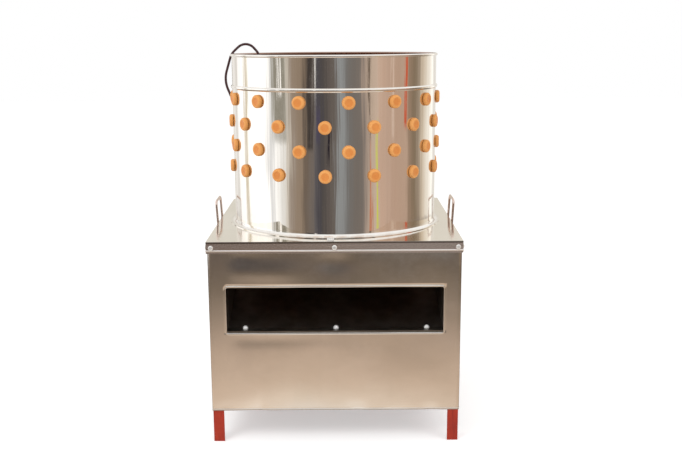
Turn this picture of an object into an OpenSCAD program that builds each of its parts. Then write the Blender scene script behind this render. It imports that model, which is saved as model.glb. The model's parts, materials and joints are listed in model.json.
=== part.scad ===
// Drum poultry plucker: a fixed steel drum with rubber fingers on a sheet metal cabinet,
// a turning finger plate in its floor, and a belt drive from a motor inside the cabinet.
// Millimetres. The origin is on the floor at the centre of the footprint.
// The front, with the feather outlet, faces -Y. +X is to the right and +Z is up.

/* [Cabinet] */
// Width and depth of the square deck
base_w = 578; // [560:1:620]
// Height of the deck's top face above the floor
deck_z = 478; // [460:1:520]
// Height of the cabinet panels' lower edge above the floor
panel_foot = 76; // [60:1:90]
// Thickness of the panel sheet
panel_t = 1.2; // [0.8:0.1:2]
// How far the panels stand in from the deck's outer face
panel_inset = 2.7; // [2.2:0.1:5]
// Depth of the folded lip at the foot of each panel
foot_fold = 14; // [8:1:20]

/* [Feather outlet] */
// Width of the outlet slot
slot_w = 494; // [420:1:500]
// Height of the slot's lower edge above the floor
slot_foot = 264; // [255:1:275]
// Height of the slot itself
slot_h = 107; // [80:1:120]
// Width of the rolled hem around the slot
slot_hem = 6; // [4:0.1:8]
// Radius of the hem's rounded edges
hem_r = 1.8; // [1:0.1:2]

/* [Deck] */
// Thickness of the deck sheet
deck_t = 1.5; // [1:0.1:2.5]
// Depth of the deck's folded flange
flange_h = 27; // [24:1:34]
// Height of the pressed bead's centre below the deck's top face
bead_drop = 21; // [19:0.5:23]
// Radius of the pressed bead
bead_r = 1.8; // [1:0.1:2]
// Radius of the hole in the deck under the drum
deck_hole_r = 246; // [240:1:247]
// Height of the flange screws' centres below the deck's top face
screw_drop = 14; // [12:0.5:15]
// Distance of the outer flange screws inside the legs' outer walls
screw_edge = 3.8; // [3.5:0.1:9]
// Radius of the flange screws' shanks
screw_r = 2.5; // [2:0.1:3]
// Distance of the drum's hold-down screws inside the frame's outer wall
clip_edge = 4.8; // [4:0.1:8]

/* [Drum] */
// Outer radius of the drum wall
drum_r = 250; // [249:0.5:251]
// Thickness of the drum wall
drum_wall = 1.5; // [1:0.1:2]
// Height of the drum above the deck
drum_h = 410; // [395:1:450]
// Radius of the wired edge around the rim
rim_r = 3.2; // [2.5:0.1:4]
// Height of the swaged ring's centre below the rim
swage_drop = 78; // [60:1:84]
// Radius of the swaged ring's outer round
swage_r = 5; // [4:0.1:5.5]
// Width of the drum's foot flange beyond the wall
foot_w = 13; // [11:0.5:15]
// Radius of the fillet between wall and foot flange
foot_fillet = 9; // [6:0.5:10]

/* [Wall fingers] */
// Number of fingers in each row
fingers_per_row = 14; // [10:1:16]
// Height of the top row above the deck
row_top = 305; // [295:1:308]
// Height between rows
row_pitch = 55; // [50:1:56]
// Turn of the first finger in the first and third rows, from the front towards +X
odd_row_turn = 7.6; // [0:0.1:12]
// Turn of the first finger in the second and fourth rows
even_row_turn = -4.5; // [-12:0.1:0]
// Radius of a finger's round head
head_r = 15.3; // [13:0.1:17]
// Thickness of a finger's head
head_h = 9; // [6:0.5:11]
// Radius of a finger's neck, where it passes through the sheet
neck_r = 9.7; // [8:0.1:11]
// Radius of the finger's body beside the sheet
body_r = 11.5; // [11:0.1:13]
// Radius of the finger's tip
tip_r = 7.5; // [6:0.1:9]
// Length of the finger inside the drum
finger_len = 80; // [70:1:84]
// Number of ribs on a finger
rib_count = 8; // [4:1:10]
// Depth of the grooves between ribs
rib_depth = 1.2; // [0.5:0.1:2]

/* [Turntable] */
// Radius of the turning finger plate
plate_r = 235; // [228:1:240]
// Thickness of the finger plate
plate_t = 3; // [2:0.5:4]
// Height of the finger plate's underside above the deck's top face
plate_rise = 7; // [5:0.5:12]
// Radii of the rings of fingers on the plate, from the outside in
ring_radii = [205, 150, 95];
// Number of fingers in each of those rings
ring_counts = [12, 9, 6];
// Radius of the hub's flange
hub_flange_r = 60; // [55:1:64]
// Thickness of the hub's flange
hub_flange_t = 10; // [8:1:12]
// Radius of the hub's boss
hub_boss_r = 28; // [24:1:32]
// Length of the hub's boss, flange included
hub_boss_h = 33; // [28:1:36]
// Radius of the circle of hub bolts
hub_bolt_ring = 45; // [42:1:48]

/* [Frame] */
// Width of the angle iron's legs
angle_w = 25; // [22:1:30]
// Thickness of the angle iron
angle_t = 3; // [2.5:0.5:4]
// Height of the bottom rails' top face above the floor
low_rail_z = 105; // [104:1:110]
// Height of the rail's top face that carries the motor bracket
motor_rail_z = 330; // [328:1:340]

/* [Feather chute] */
// Slope of the chute floor in degrees
chute_slope = 17.5; // [16.5:0.1:17.9]
// Thickness of the chute sheet
chute_t = 1.5; // [1:0.1:2]
// Distance between the chute bolts
chute_bolt_pitch = 209; // [180:1:220]
// Outer radius of the collar around the shaft
collar_r = 30; // [26:1:32]
// Height of the collar's top below the deck's top face
collar_drop = 38; // [36:1:44]

/* [Drive] */
// Diameter of the main shaft
shaft_d = 25; // [22:1:26]
// Height of the belt's middle above the floor
belt_z = 163; // [162:1:166]
// Pitch radius of the large pulley
big_pitch_r = 116; // [110:1:120]
// Pitch radius of the motor pulley
small_pitch_r = 29; // [26:1:34]
// Distance between the main shaft and the motor shaft
shaft_gap = 170; // [166:1:172]
// Thickness of the bearing plates
bearer_t = 5; // [4:0.5:8]
// Half width of the square bearing flange
housing_half = 46; // [44:1:50]
// Outer diameter of a main bearing
bearing_od = 52; // [50:1:54]
// Width of a main bearing
bearing_w = 15; // [13:1:16]
// Number of balls in a main bearing
ball_count = 9; // [7:1:10]
// Radius of a bearing ball
ball_r = 3.97; // [3.5:0.01:4.2]

/* [Motor] */
// Radius of the motor housing under its fins
motor_r = 58; // [54:1:60]
// Height of the cooling fins
fin_h = 8; // [4:1:10]
// Height of the motor housing's lower end above the floor
motor_foot = 195; // [192:1:198]
// Length of the motor housing
motor_len = 125; // [115:1:128]
// Distance from the motor's axis to the face of its feet
motor_axis_h = 80; // [78:1:81]
// Radius of the motor shaft's ends
motor_shaft_r = 9.5; // [8:0.5:10]
// Length of the fan cowl beyond the end shield
cowl_len = 35; // [30:1:38]

/* [Switch] */
// Distance of the switch from the middle of the right side
switch_y = 200; // [190:1:215]
// Height of the switch above the floor
switch_z = 335; // [325:1:345]
// Radius of a push button
button_r = 11; // [9:0.5:12]
// Travel of a push button
button_travel = 3; // [2:0.5:4]
// Distance between the two buttons
button_pitch = 40; // [36:1:44]

/* [Handles] */
// Radius of the handle rod
handle_r = 3; // [2.5:0.1:4]
// Distance between a handle's feet
handle_span = 84; // [76:1:110]
// Height of a handle's grip above the deck
handle_h = 48; // [38:1:60]
// Distance of a handle's middle behind the middle of the deck
handle_y = 8; // [0:1:12]
// Outward lean of a handle in degrees
handle_lean = 3.5; // [0:0.5:8]

/* [Cord] */
// Diameter of the power cord
cord_d = 6.2; // [6.2:0.1:6.2]
// Turns in each layer of the stored coil
coil_turns = 3; // [2:1:3]

/* [Hidden] */
$fn = 64;

// Clearances shared by pieces that fit together
seat = 0.3;
press = 0.02;
running = 0.05;

// Planes of the cabinet, measured out from its middle
half = base_w / 2;
flange_in = half - deck_t;
panel_out = half - panel_inset;
panel_in = panel_out - panel_t;
frame_out = panel_in - seat;
leg_in = frame_out - angle_w;
rail_out = frame_out - angle_t;
rail_in = rail_out - angle_w;

// Heights of the cabinet
deck_under = deck_z - deck_t;
slot_top = slot_foot + slot_h;
mid_rail_z = slot_foot + 2;
bottom_rail_foot = low_rail_z - angle_w;
screw_z = deck_z - screw_drop;
screw_reach = rail_out - screw_edge;

// Bore of the drum and the holes for its fingers
drum_in = drum_r - drum_wall;
hole_r = neck_r + seat;
drum_bow = pow(body_r + 1, 2) / (2 * drum_in);

// Screws, bolts and their holes
screw_hole_r = screw_r + 0.2;
bolt_r = 4;
bolt_hole_r = 4.3;
bolt_flats = 13;
bolt_head_h = 5.3;
nut_h = 6.5;
thread_depth = 0.5;
past_nut = 2.5;
pan_head_r = 5.6;
pan_head_h = 3.2;

// Clips that hold the drum's foot flange down
clip_x = -9;
clip_w = 16;
clip_t = 1.2;
clip_end = 8;
clip_lap = 2.2;
clip_head_r = 4.6;
clip_head_h = 3;
clip_screw_len = 8.4;
foot_r = drum_r + foot_w;
clip_screw_y = rail_out - clip_edge;

// Chute outline
chute_front = -(rail_out + seat);
chute_bend = -(rail_in - seat);
chute_side = slot_w / 2;
chute_rear = rail_in - 8.8;
chute_top = deck_under - seat;
landing_z = mid_rail_z + chute_t;
chute_bolt_y = -rail_in - 7;
chute_bolt_x = 2;
chute_bolt_r = 3;
chute_head_r = 5.5;
chute_head_h = 5;
chute_lip = 12;
collar_top = deck_z - collar_drop;

// Turntable heights
plate_z = deck_z + plate_rise;
plate_top = plate_z + plate_t;
hub_foot = plate_z - hub_boss_h;
slinger_rise = 6;
slinger_z = hub_foot - slinger_rise;
slinger_h = 18;
slinger_top = 2;
slinger_wall = 1.5;
slinger_gap = 10;
slinger_neck = 6;

// Shafts and bearings
shaft_r = shaft_d / 2;
shaft_end = 4;
spigot_r = shaft_r - 2.5;
spigot_h = 13;
bearing_r = bearing_od / 2;
ball_ring_r = (bearing_r + shaft_r) / 2;
bearer_x = rail_out - 6.8;
bearer_y = 55;
bearer_zs = [low_rail_z, mid_rail_z];
bearing_seat = 18;
bearing_rise = bearer_t + bearing_seat;
housing_flange_t = 10;
housing_h = 28;
housing_bolt = housing_half - 11;
bearer_bolt_x = (rail_out + rail_in) / 2 - 2;
bearer_bolt_y = 35;

// Belt and pulley grooves
belt_half = 6.5;
groove_slope = tan(18);
groove_rise = 3;
groove_depth = 11;
pulley_half = 10;

// Motor
motor_y = shaft_gap;
motor_top = motor_foot + motor_len;
fin_r = motor_r + fin_h;
pad = 0.5;
shield_t = 13;
motor_wall = 8;
core_inset = 22;
winding_inset = 8;
terminal_d = 36;
terminal_w = 60;
terminal_h = 56;
terminal_t = 3;
terminal_foot = motor_foot + 37;
terminal_x = fin_r + pad + terminal_d / 2;
can_r = 19;
can_h = 80;
can_foot = motor_foot + 25;
can_pad_z = can_foot + 34;
can_pad_w = 20;
can_pad_h = 12;
foot_len = 25;
foot_t = 10;
foot_half = 76;
foot_neck = 48;
foot_hole_x = 62.5;
foot_hole_zs = [motor_foot + foot_len / 2, motor_top - foot_len / 2];
web_y = motor_y + motor_axis_h;
web_t = 5;
web_half = 90;
bracket_bolt_x = 70;
bracket_bolt_y = rail_in + 11.2;
bracket_slot = 3;
motor_bearing_r = 21;
rotor_shaft_r = motor_shaft_r + 2.5;
rotor_r = 32.5;
fan_gap = 2;
fan_h = 15;
fan_r = fin_r - 16;

// Switch
bezel_y = 32;
bezel_z = 48;
bezel_t = 9;
box_half_y = 22;
box_half_z = 37;
box_depth = 43;
button_flange = 2;

// Cord: radius, ends and the stored coil
cord_r = cord_d / 2;
gland_x = -130;
gland_z = 135;
gland_tip = 322;
tie_t = 0.9;
tie_w = 9;
coil_x = -190;
coil_y = 379;
coil_r = 47;
coil_step = cord_d + 0.6;
coil_z = tie_t + cord_r + seat;
coil_rings = 24;
plug_x = -196;
plug_y = 66;
plug_pin_z = 742;
plug_top = 822;

// Routes are corner points, each with the radius of its bend as a fourth number.
// From the gland down to the coil
tail_route = [
    [-130, 322, 135, 0], [-130, 356, 135, 26], [-132, 338, 4.3, 26], [-165, 332, 4.3, 26],
    [-183.8, 332, 4.3, 0]];

// From the coil up the back, along the drum and over its rim to the plug
rise_route = [
    [-196.2, 332, 11.1, 0], [-238, 332, 11.1, 26], [-232, 300, 120, 60], [-216, 300, 489, 26],
    [-220, 222, 481.6, 60], [-232, 104, 485.5, 26], [-232, 104, 690, 80], [-282, 88, 820, 70],
    [-261, 80, 887, 45], [-222, 80, 922, 28], [-188, 75, 884, 26], [-196, 66, 845, 26],
    [-196, 66, 822, 0]];

// Small helpers for vectors and smooth routes
function unit(v) = v / norm(v);
function bend(a, b, c, r) =
    let (u = unit(a - b), v = unit(c - b), turn = 180 - acos(u * v), reach = r * tan(turn / 2),
         middle = b + unit(u + v) * r / cos(turn / 2),
         e = (b + reach * u - middle) / r, f = (b + reach * v - middle) / r,
         parts = max(1, round(turn * r / 700)))
    [for (k = [0:parts])
        middle + r * (sin(turn * (1 - k / parts)) * e + sin(turn * k / parts) * f) / sin(turn)];
function place(p) = [p[0], p[1], p[2]];
function rounded(route) =
    let (last = len(route) - 1)
    concat([place(route[0])],
        [for (i = [1:last - 1])
            each bend(place(route[i - 1]), place(route[i]), place(route[i + 1]), route[i][3])],
        [place(route[last])]);
function length_of(path, i = 0) =
    i >= len(path) - 1 ? 0 : norm(path[i + 1] - path[i]) + length_of(path, i + 1);
function heading(path, i) =
    unit(path[min(i + 1, len(path) - 1)] - path[max(i - 1, 0)]);
function across(v, t) = unit(v - (v * t) * t);
function side_vectors(path) =
    let (first = heading(path, 0), pick = abs(first.z) < 0.9 ? [0, 0, 1] : [1, 0, 0])
    [for (i = 0, v = across(pick, first); i < len(path);
          i = i + 1, v = i < len(path) ? across(v, heading(path, i)) : v) v];

// Solid round tube along a path
module tube(path, r, sides) {
    vs = side_vectors(path);
    n = len(path);
    points = [for (i = [0:n - 1]) let (t = heading(path, i), w = cross(t, vs[i]))
        for (s = [0:sides - 1]) path[i] + r * (cos(360 * s / sides) * vs[i] + sin(360 * s / sides) * w)];
    skin = [for (i = [0:n - 2]) for (s = [0:sides - 1])
        let (a = i * sides + s, b = i * sides + (s + 1) % sides)
        each [[a, a + sides, b + sides], [a, b + sides, b]]];
    caps = [for (s = [1:sides - 2])
        each [[0, s, s + 1], [(n - 1) * sides, (n - 1) * sides + s + 1, (n - 1) * sides + s]]];
    polyhedron(points, concat(skin, caps));
}

// Path of the stored coil: inwards on the floor, a climb where it turns, outwards on top
function coil_turn_r(u) = coil_r - coil_step * min(u, 2 * coil_turns - u);
function coil_climb(u) = min(1, max(0, (u - coil_turns + 0.25) * 2));
function coil_point(u) =
    [coil_x - coil_turn_r(u) * sin(360 * u),
     coil_y - coil_turn_r(u) * cos(360 * u),
     coil_z + coil_step * coil_climb(u)];
coil_path = concat(
    [coil_point(0) + [cord_d, 0, 0]],
    [for (k = [0:2 * coil_turns * coil_rings]) coil_point(k / coil_rings)],
    [coil_point(2 * coil_turns) - [cord_d, 0, 0]]);
coil_gap = min([for (i = [0:len(coil_path) - 1]) for (j = [i + 12:1:len(coil_path) - 1])
    norm(coil_path[i] - coil_path[j])]) - cord_d;
echo(least_gap_in_coil = coil_gap);
echo(cord_length = length_of(rounded(tail_route)) + length_of(coil_path)
    + length_of(rounded(rise_route)));

// Four copies turned about the middle of the cabinet
module four_sides() {
    for (a = [0:90:270]) rotate([0, 0, a]) children();
}

// Angle iron rail along X, on the front side, with its flat flange on top
module front_rail(top, length) {
    translate([-length / 2, -rail_out, top - angle_w]) cube([length, angle_t, angle_w]);
    translate([-length / 2, -rail_out, top - angle_t]) cube([length, angle_w, angle_t]);
}

// Holes for the flange screws of one side
module side_screw_holes(reach_in) {
    for (x = [-screw_reach, 0, screw_reach]) translate([x, -half - 1, screw_z])
        rotate([-90, 0, 0]) cylinder(r = screw_hole_r, h = reach_in);
}

// Round head with a domed edge and a cross recess, standing on the XY plane
module pan_head(r, h) {
    recess_w = r * 0.2;
    difference() {
        rotate_extrude() polygon([
            [0, 0], [r, 0], [r, h * 0.4], [r * 0.93, h * 0.65], [r * 0.75, h * 0.88],
            [r * 0.45, h], [0, h]]);
        for (a = [0, 90]) rotate([0, 0, a])
            translate([-r / 2, -recess_w / 2, h * 0.5]) cube([r, recess_w, h]);
    }
}

// Hexagon nut or head with a flat-to-flat size, standing on the XY plane
module hexagon(flats, h) {
    cylinder(r = flats / sqrt(3), h = h, $fn = 6);
}

// Shank down from z = 0 through a stack, with a nut under the stack
module shank_and_nut(r, grip, flats, h) {
    translate([0, 0, -grip - h - past_nut]) cylinder(r = r, h = grip + h + past_nut);
    translate([0, 0, -grip - h]) difference() {
        hexagon(flats, h);
        translate([0, 0, -1]) cylinder(r = r - thread_depth, h = h + 2);
    }
}

// Hexagon bolt: its head stands on top of the stack at z = 0
module bolt_and_nut(grip) {
    hexagon(bolt_flats, bolt_head_h);
    shank_and_nut(bolt_r, grip, bolt_flats, nut_h);
}

// Rubber finger: head outside the sheet, neck through it, ribbed body on the far side.
// The sheet lies between z = -sheet and z = 0 and the head stands on +Z.
function rib_r(i) = body_r - (body_r - tip_r) * i / rib_count;
function finger_outline(sheet, bow) =
    let (collar = -sheet - seat - bow, ribs = collar - 5, pitch = (finger_len - 5 - 4) / rib_count,
         round_r = 3.5, top = seat + head_h)
    concat(
        [[0, top - 0.8], [head_r - 6.5, top - 0.8], [head_r - 5.5, top]],
        [for (a = [0:30:90]) [head_r - round_r + round_r * sin(a), top - round_r + round_r * cos(a)]],
        [[head_r, seat], [neck_r, seat], [neck_r, collar], [body_r + 1, collar]],
        [for (i = [0:rib_count - 1]) each [
            [rib_r(i) + (i == 0 ? 1 : 0), ribs - i * pitch],
            [rib_r(i) - rib_depth, ribs - (i + 0.3) * pitch],
            [rib_r(i + 1), ribs - (i + 0.6) * pitch]]],
        [[tip_r, collar - finger_len + 4], [tip_r - 3, collar - finger_len], [0, collar - finger_len]]);
module finger(sheet, bow) {
    rotate_extrude() polygon(finger_outline(sheet, bow));
}

// Places for one row of wall fingers, turned so that +Z points out of the drum
module in_row(row) {
    turn = row % 2 == 0 ? odd_row_turn : even_row_turn;
    for (i = [0:fingers_per_row - 1])
        rotate([0, 0, turn + i * 360 / fingers_per_row])
            translate([0, -drum_r, deck_z + row_top - row * row_pitch]) rotate([90, 0, 0]) children();
}

module finger_row(row) {
    color([0.93, 0.6, 0.28]) in_row(row) finger(drum_wall, drum_bow);
}

// Drum: wall, wired rim, swaged ring and foot flange, with a hole for every finger
module drum_outline() {
    translate([drum_in, foot_fillet]) square([drum_wall, drum_h - foot_fillet - rim_r]);
    translate([drum_in + rim_r - 1.5, drum_h - rim_r]) circle(rim_r);
    translate([drum_in, 0]) difference() {
        square([drum_wall + foot_w, foot_fillet + drum_wall]);
        translate([drum_wall + foot_fillet, drum_wall + foot_fillet]) circle(foot_fillet);
        translate([drum_wall + foot_fillet, drum_wall]) square([foot_w, foot_fillet + 1]);
    }
    translate([drum_in - 0.3, drum_h - swage_drop]) difference() {
        circle(swage_r);
        circle(swage_r - drum_wall);
        translate([-2 * swage_r, -swage_r]) square([2 * swage_r + 0.3, 2 * swage_r]);
    }
}
module drum_shell() {
    color([0.86, 0.84, 0.8]) difference() {
        translate([0, 0, deck_z]) rotate_extrude() difference() {
            drum_outline();
            translate([0, drum_h - swage_drop]) translate([drum_in - 0.3, 0]) circle(swage_r - drum_wall);
        }
        for (row = [0:3]) in_row(row) translate([0, 0, -10]) cylinder(r = hole_r, h = 20);
    }
}

// Clips at the front and back that hold the drum's foot flange down, with their screws
module at_clips() {
    for (a = [0, 180]) rotate([0, 0, a])
        translate([a == 0 ? clip_x : -clip_x, -clip_screw_y, deck_z]) children();
}
module drum_hold_downs() {
    outer = clip_screw_y - foot_r;
    riser = outer - seat;
    shank = clip_t + clip_screw_len;
    at_clips() {
        color([0.8, 0.8, 0.78]) difference() {
            translate([-clip_w / 2, 0, 0]) rotate([90, 0, 90]) linear_extrude(clip_w) polygon([
                [-clip_end, 0], [riser - clip_t, 0], [riser - clip_t, drum_wall],
                [outer + clip_lap, drum_wall], [outer + clip_lap, drum_wall + clip_t],
                [riser - 2 * clip_t, drum_wall + clip_t], [riser - 2 * clip_t, clip_t],
                [-clip_end, clip_t]]);
            translate([0, 0, -1]) cylinder(r = screw_hole_r, h = clip_t + 3);
        }
        color([0.85, 0.85, 0.83]) translate([0, 0, clip_t]) {
            pan_head(clip_head_r, clip_head_h);
            translate([0, 0, -shank]) cylinder(r = screw_r, h = shank);
        }
    }
}
module hold_down_holes() {
    at_clips() translate([0, 0, -clip_screw_len - 4]) cylinder(r = screw_hole_r, h = clip_screw_len + 12);
}

// Deck: a shallow pan turned upside down, with a pressed bead around its flange
module deck_plate() {
    color([0.87, 0.84, 0.77]) difference() {
        union() {
            translate([-half, -half, deck_under]) cube([base_w, base_w, deck_t]);
            four_sides() {
                translate([-half, -half, deck_z - flange_h]) cube([base_w, deck_t, flange_h]);
                translate([-half + 0.4, -half + 0.4, deck_z - bead_drop]) {
                    rotate([0, 90, 0]) cylinder(r = bead_r, h = base_w - 0.8);
                    sphere(bead_r);
                }
            }
        }
        translate([0, 0, deck_under - 1]) cylinder(r = deck_hole_r, h = deck_t + 2);
        four_sides() side_screw_holes(deck_t + 2);
        hold_down_holes();
    }
}

// Screws through the deck's flange into the panels and the frame. The middle one of each
// side goes through the rail, and the outer two end within the leg.
module deck_screws() {
    past_rail = angle_t + 1;
    short_of_rail = -0.8;
    color([0.88, 0.88, 0.86]) four_sides() for (x = [-screw_reach, 0, screw_reach]) {
        shank = half - rail_out + (x == 0 ? past_rail : short_of_rail);
        translate([x, -half, screw_z]) rotate([90, 0, 0]) {
            pan_head(pan_head_r, pan_head_h);
            translate([0, 0, -shank]) cylinder(r = screw_r, h = shank);
        }
    }
}

// Plain panel on the front side, with a lip folded in at its foot between the legs
module panel_sheet(reach) {
    difference() {
        translate([-reach, -panel_out, panel_foot])
            cube([2 * reach, panel_t, chute_top - panel_foot]);
        side_screw_holes(panel_inset + panel_t + 2);
    }
    fold_half = leg_in - seat;
    translate([-fold_half, -panel_out, panel_foot]) cube([2 * fold_half, foot_fold, panel_t]);
}
// Flat oval section of the rolled hem, from its inner edge outwards along +X
module hem_section() {
    translate([hem_r, 0]) circle(hem_r);
    translate([slot_hem - hem_r, 0]) circle(hem_r);
    translate([hem_r, -hem_r]) square([slot_hem - 2 * hem_r, 2 * hem_r]);
}
module front_panel() {
    hem_w = slot_w + 2 * slot_hem;
    color([0.68, 0.6, 0.52]) {
        difference() {
            panel_sheet(panel_out);
            translate([-slot_w / 2 - hem_r, -panel_out - 1, slot_foot - hem_r])
                cube([slot_w + 2 * hem_r, panel_t + 2, slot_h + 2 * hem_r]);
        }
        translate([0, -panel_out + panel_t / 2, slot_foot]) {
            for (m = [0, 1]) mirror([m, 0, 0]) translate([slot_w / 2, 0, 0])
                linear_extrude(slot_h) hem_section();
            translate([-hem_w / 2, 0, slot_h]) rotate([0, -90, 180]) linear_extrude(hem_w) hem_section();
            translate([hem_w / 2, 0, 0]) rotate([0, 90, 180]) linear_extrude(hem_w) hem_section();
        }
    }
}
module rear_panel() {
    vent_w = 90;
    vent_h = 5;
    vent_pitch = 12;
    color([0.68, 0.6, 0.52]) difference() {
        rotate([0, 0, 180]) panel_sheet(panel_out);
        for (x = [-75, 75]) for (k = [0:5])
            translate([x - vent_w / 2, panel_in - 1, motor_top + 20 + k * vent_pitch])
                cube([vent_w, panel_t + 2, vent_h]);
        translate([gland_x, panel_in - 1, gland_z]) rotate([-90, 0, 0]) cylinder(r = 8.3, h = panel_t + 2);
    }
}
module left_panel() {
    color([0.66, 0.58, 0.5]) rotate([0, 0, -90]) panel_sheet(panel_in - seat);
}
module right_panel() {
    color([0.66, 0.58, 0.5]) difference() {
        rotate([0, 0, 90]) panel_sheet(panel_in - seat);
        translate([panel_in - 1, switch_y - box_half_y - seat, switch_z - box_half_z - seat])
            cube([panel_t + 2, 2 * (box_half_y + seat), 2 * (box_half_z + seat)]);
    }
}

// Chute under the drum: landing, sloping floor, side walls, rear wall and shaft collar
function floor_z(y) = landing_z + max(0, y - chute_bend) * tan(chute_slope);
module feather_chute() {
    under = chute_t / cos(chute_slope);
    collar_foot = floor_z(-collar_r) - 6;
    outer = chute_side + chute_t;
    notch_z = deck_under - angle_w - seat;
    color([0.62, 0.6, 0.56]) difference() {
        union() {
            translate([-outer, 0, 0]) rotate([90, 0, 90]) linear_extrude(2 * outer) polygon([
                [chute_front - chute_t, landing_z - chute_t], [chute_front - chute_t, landing_z],
                [chute_bend, landing_z],
                [chute_rear + chute_t, floor_z(chute_rear + chute_t)],
                [chute_rear + chute_t, floor_z(chute_rear + chute_t) - under],
                [chute_bend + chute_t, landing_z - chute_t]]);
            for (x = [-outer, chute_side]) translate([x, 0, 0])
                rotate([90, 0, 90]) linear_extrude(chute_t) polygon([
                    [chute_front, landing_z], [chute_front, notch_z], [chute_bend, notch_z],
                    [chute_bend, chute_top], [chute_rear + chute_t, chute_top],
                    [chute_rear + chute_t, floor_z(chute_rear + chute_t)], [chute_bend, landing_z]]);
            translate([-outer, chute_rear, floor_z(chute_rear)])
                cube([2 * outer, chute_t, chute_top - floor_z(chute_rear)]);
            translate([-outer, chute_front - chute_t, landing_z - chute_lip])
                cube([2 * outer, chute_t, chute_lip]);
            translate([0, 0, collar_foot]) cylinder(r = collar_r, h = collar_top - collar_foot);
        }
        translate([0, 0, collar_foot - 20]) cylinder(r = collar_r - chute_t, h = 200);
        at_chute_bolts() translate([0, 0, -10]) cylinder(r = chute_bolt_r + seat, h = 20);
    }
}
module at_chute_bolts() {
    for (k = [-1:1]) translate([chute_bolt_x + k * chute_bolt_pitch, chute_bolt_y, landing_z]) children();
}
module chute_bolts() {
    color([0.88, 0.88, 0.86]) at_chute_bolts() {
        pan_head(chute_head_r, chute_head_h);
        shank_and_nut(chute_bolt_r, chute_t + angle_t, 10, 5);
    }
}

// Carrying handle: a bent rod whose feet are welded to the deck's side flange
module handle(side) {
    bend = 12;
    weld_w = 8;
    weld_h = 12;
    foot_z = deck_z - bead_drop + bead_r + 1;
    reach = deck_z + handle_h - foot_z;
    color([0.72, 0.66, 0.62]) translate([side * (half + handle_r + seat), handle_y, foot_z]) {
        rotate([0, side * handle_lean, 0]) {
            for (s = [-1, 1]) {
                translate([0, s * handle_span / 2, 0]) cylinder(r = handle_r, h = reach - bend);
                translate([0, s * (handle_span / 2 - bend), reach - bend])
                    rotate([0, -90, 0]) rotate([0, 0, s > 0 ? 0 : -90])
                        rotate_extrude(angle = 90) translate([bend, 0]) circle(handle_r);
            }
            translate([0, -handle_span / 2 + bend, reach])
                rotate([-90, 0, 0]) cylinder(r = handle_r, h = handle_span - 2 * bend);
        }
        for (s = [-1, 1]) translate([side > 0 ? -handle_r - seat : 0, s * handle_span / 2 - weld_w / 2, 1])
            cube([handle_r + seat, weld_w, weld_h]);
    }
}
module handle_left() {
    handle(-1);
}
module handle_right() {
    handle(1);
}

// Frame of angle iron
module frame_legs() {
    color([0.62, 0.2, 0.14]) difference() {
        four_sides() {
            translate([-frame_out, -frame_out, 0]) cube([angle_w, angle_t, deck_under]);
            translate([-frame_out, -frame_out, 0]) cube([angle_t, angle_w, deck_under]);
        }
        four_sides() side_screw_holes(half - rail_out + 2);
    }
}
module frame_top_rails() {
    color([0.62, 0.2, 0.14]) difference() {
        union() {
            for (a = [0, 180]) rotate([0, 0, a]) front_rail(deck_under, 2 * rail_out);
            for (a = [90, 270]) rotate([0, 0, a]) front_rail(deck_under, 2 * rail_in);
        }
        four_sides() side_screw_holes(half - rail_out + angle_t + 3);
        hold_down_holes();
    }
}
module frame_mid_rails() {
    color([0.62, 0.2, 0.14]) difference() {
        union() {
            front_rail(mid_rail_z, 2 * rail_out);
            rotate([0, 0, 180]) front_rail(motor_rail_z, 2 * rail_out);
            for (a = [90, 270]) rotate([0, 0, a]) translate([a == 90 ? angle_w / 2 : -angle_w / 2, 0, 0])
                front_rail(mid_rail_z, rail_in + rail_out);
        }
        at_chute_bolts() translate([0, 0, -10]) cylinder(r = chute_bolt_r + seat, h = 20);
        bearer_bolt_holes(mid_rail_z);
        for (x = [-bracket_bolt_x, bracket_bolt_x]) translate([x, bracket_bolt_y, motor_rail_z - 10])
            cylinder(r = bolt_hole_r, h = 20);
    }
}
module frame_bottom_rails() {
    color([0.62, 0.2, 0.14]) difference() {
        union() {
            for (a = [0, 180]) rotate([0, 0, a]) front_rail(low_rail_z, 2 * rail_out);
            for (a = [90, 270]) rotate([0, 0, a]) front_rail(low_rail_z, 2 * rail_in);
        }
        bearer_bolt_holes(low_rail_z);
        for (x = [-bracket_bolt_x, bracket_bolt_x]) translate([x, bracket_bolt_y, low_rail_z - 10])
            cylinder(r = bolt_hole_r, h = 20);
    }
}

// Plates that carry the main bearings, and everything stacked on them
module bearer_bolt_holes(z) {
    for (x = [-bearer_bolt_x, bearer_bolt_x]) for (y = [-bearer_bolt_y, bearer_bolt_y])
        translate([x, y, z - 12]) cylinder(r = bolt_hole_r, h = 30);
}
module housing_bolt_places() {
    for (x = [-housing_bolt, housing_bolt]) for (y = [-housing_bolt, housing_bolt])
        translate([x, y, 0]) children();
}
module bearing_plates() {
    color([0.62, 0.2, 0.14]) for (z = bearer_zs) difference() {
        translate([-bearer_x, -bearer_y, z]) cube([2 * bearer_x, 2 * bearer_y, bearer_t]);
        translate([0, 0, z - 1]) cylinder(r = bearing_r - 5, h = bearer_t + 2);
        bearer_bolt_holes(z);
        translate([0, 0, z - 1]) housing_bolt_places() cylinder(r = bolt_hole_r, h = bearer_t + 2);
    }
}
module bearing_housings() {
    seat_z = bearing_rise - bearer_t - bearing_w / 2;
    color([0.3, 0.36, 0.42]) for (z = bearer_zs) translate([0, 0, z + bearer_t]) difference() {
        union() {
            translate([-housing_half, -housing_half, 0])
                cube([2 * housing_half, 2 * housing_half, housing_flange_t]);
            cylinder(r = bearing_r + 8, h = housing_h);
        }
        translate([0, 0, -1]) cylinder(r = bearing_r - 4, h = housing_h + 2);
        translate([0, 0, seat_z]) cylinder(r = bearing_r + press, h = housing_h);
        translate([0, 0, -1]) housing_bolt_places() cylinder(r = bolt_hole_r, h = housing_flange_t + 2);
    }
}
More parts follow.
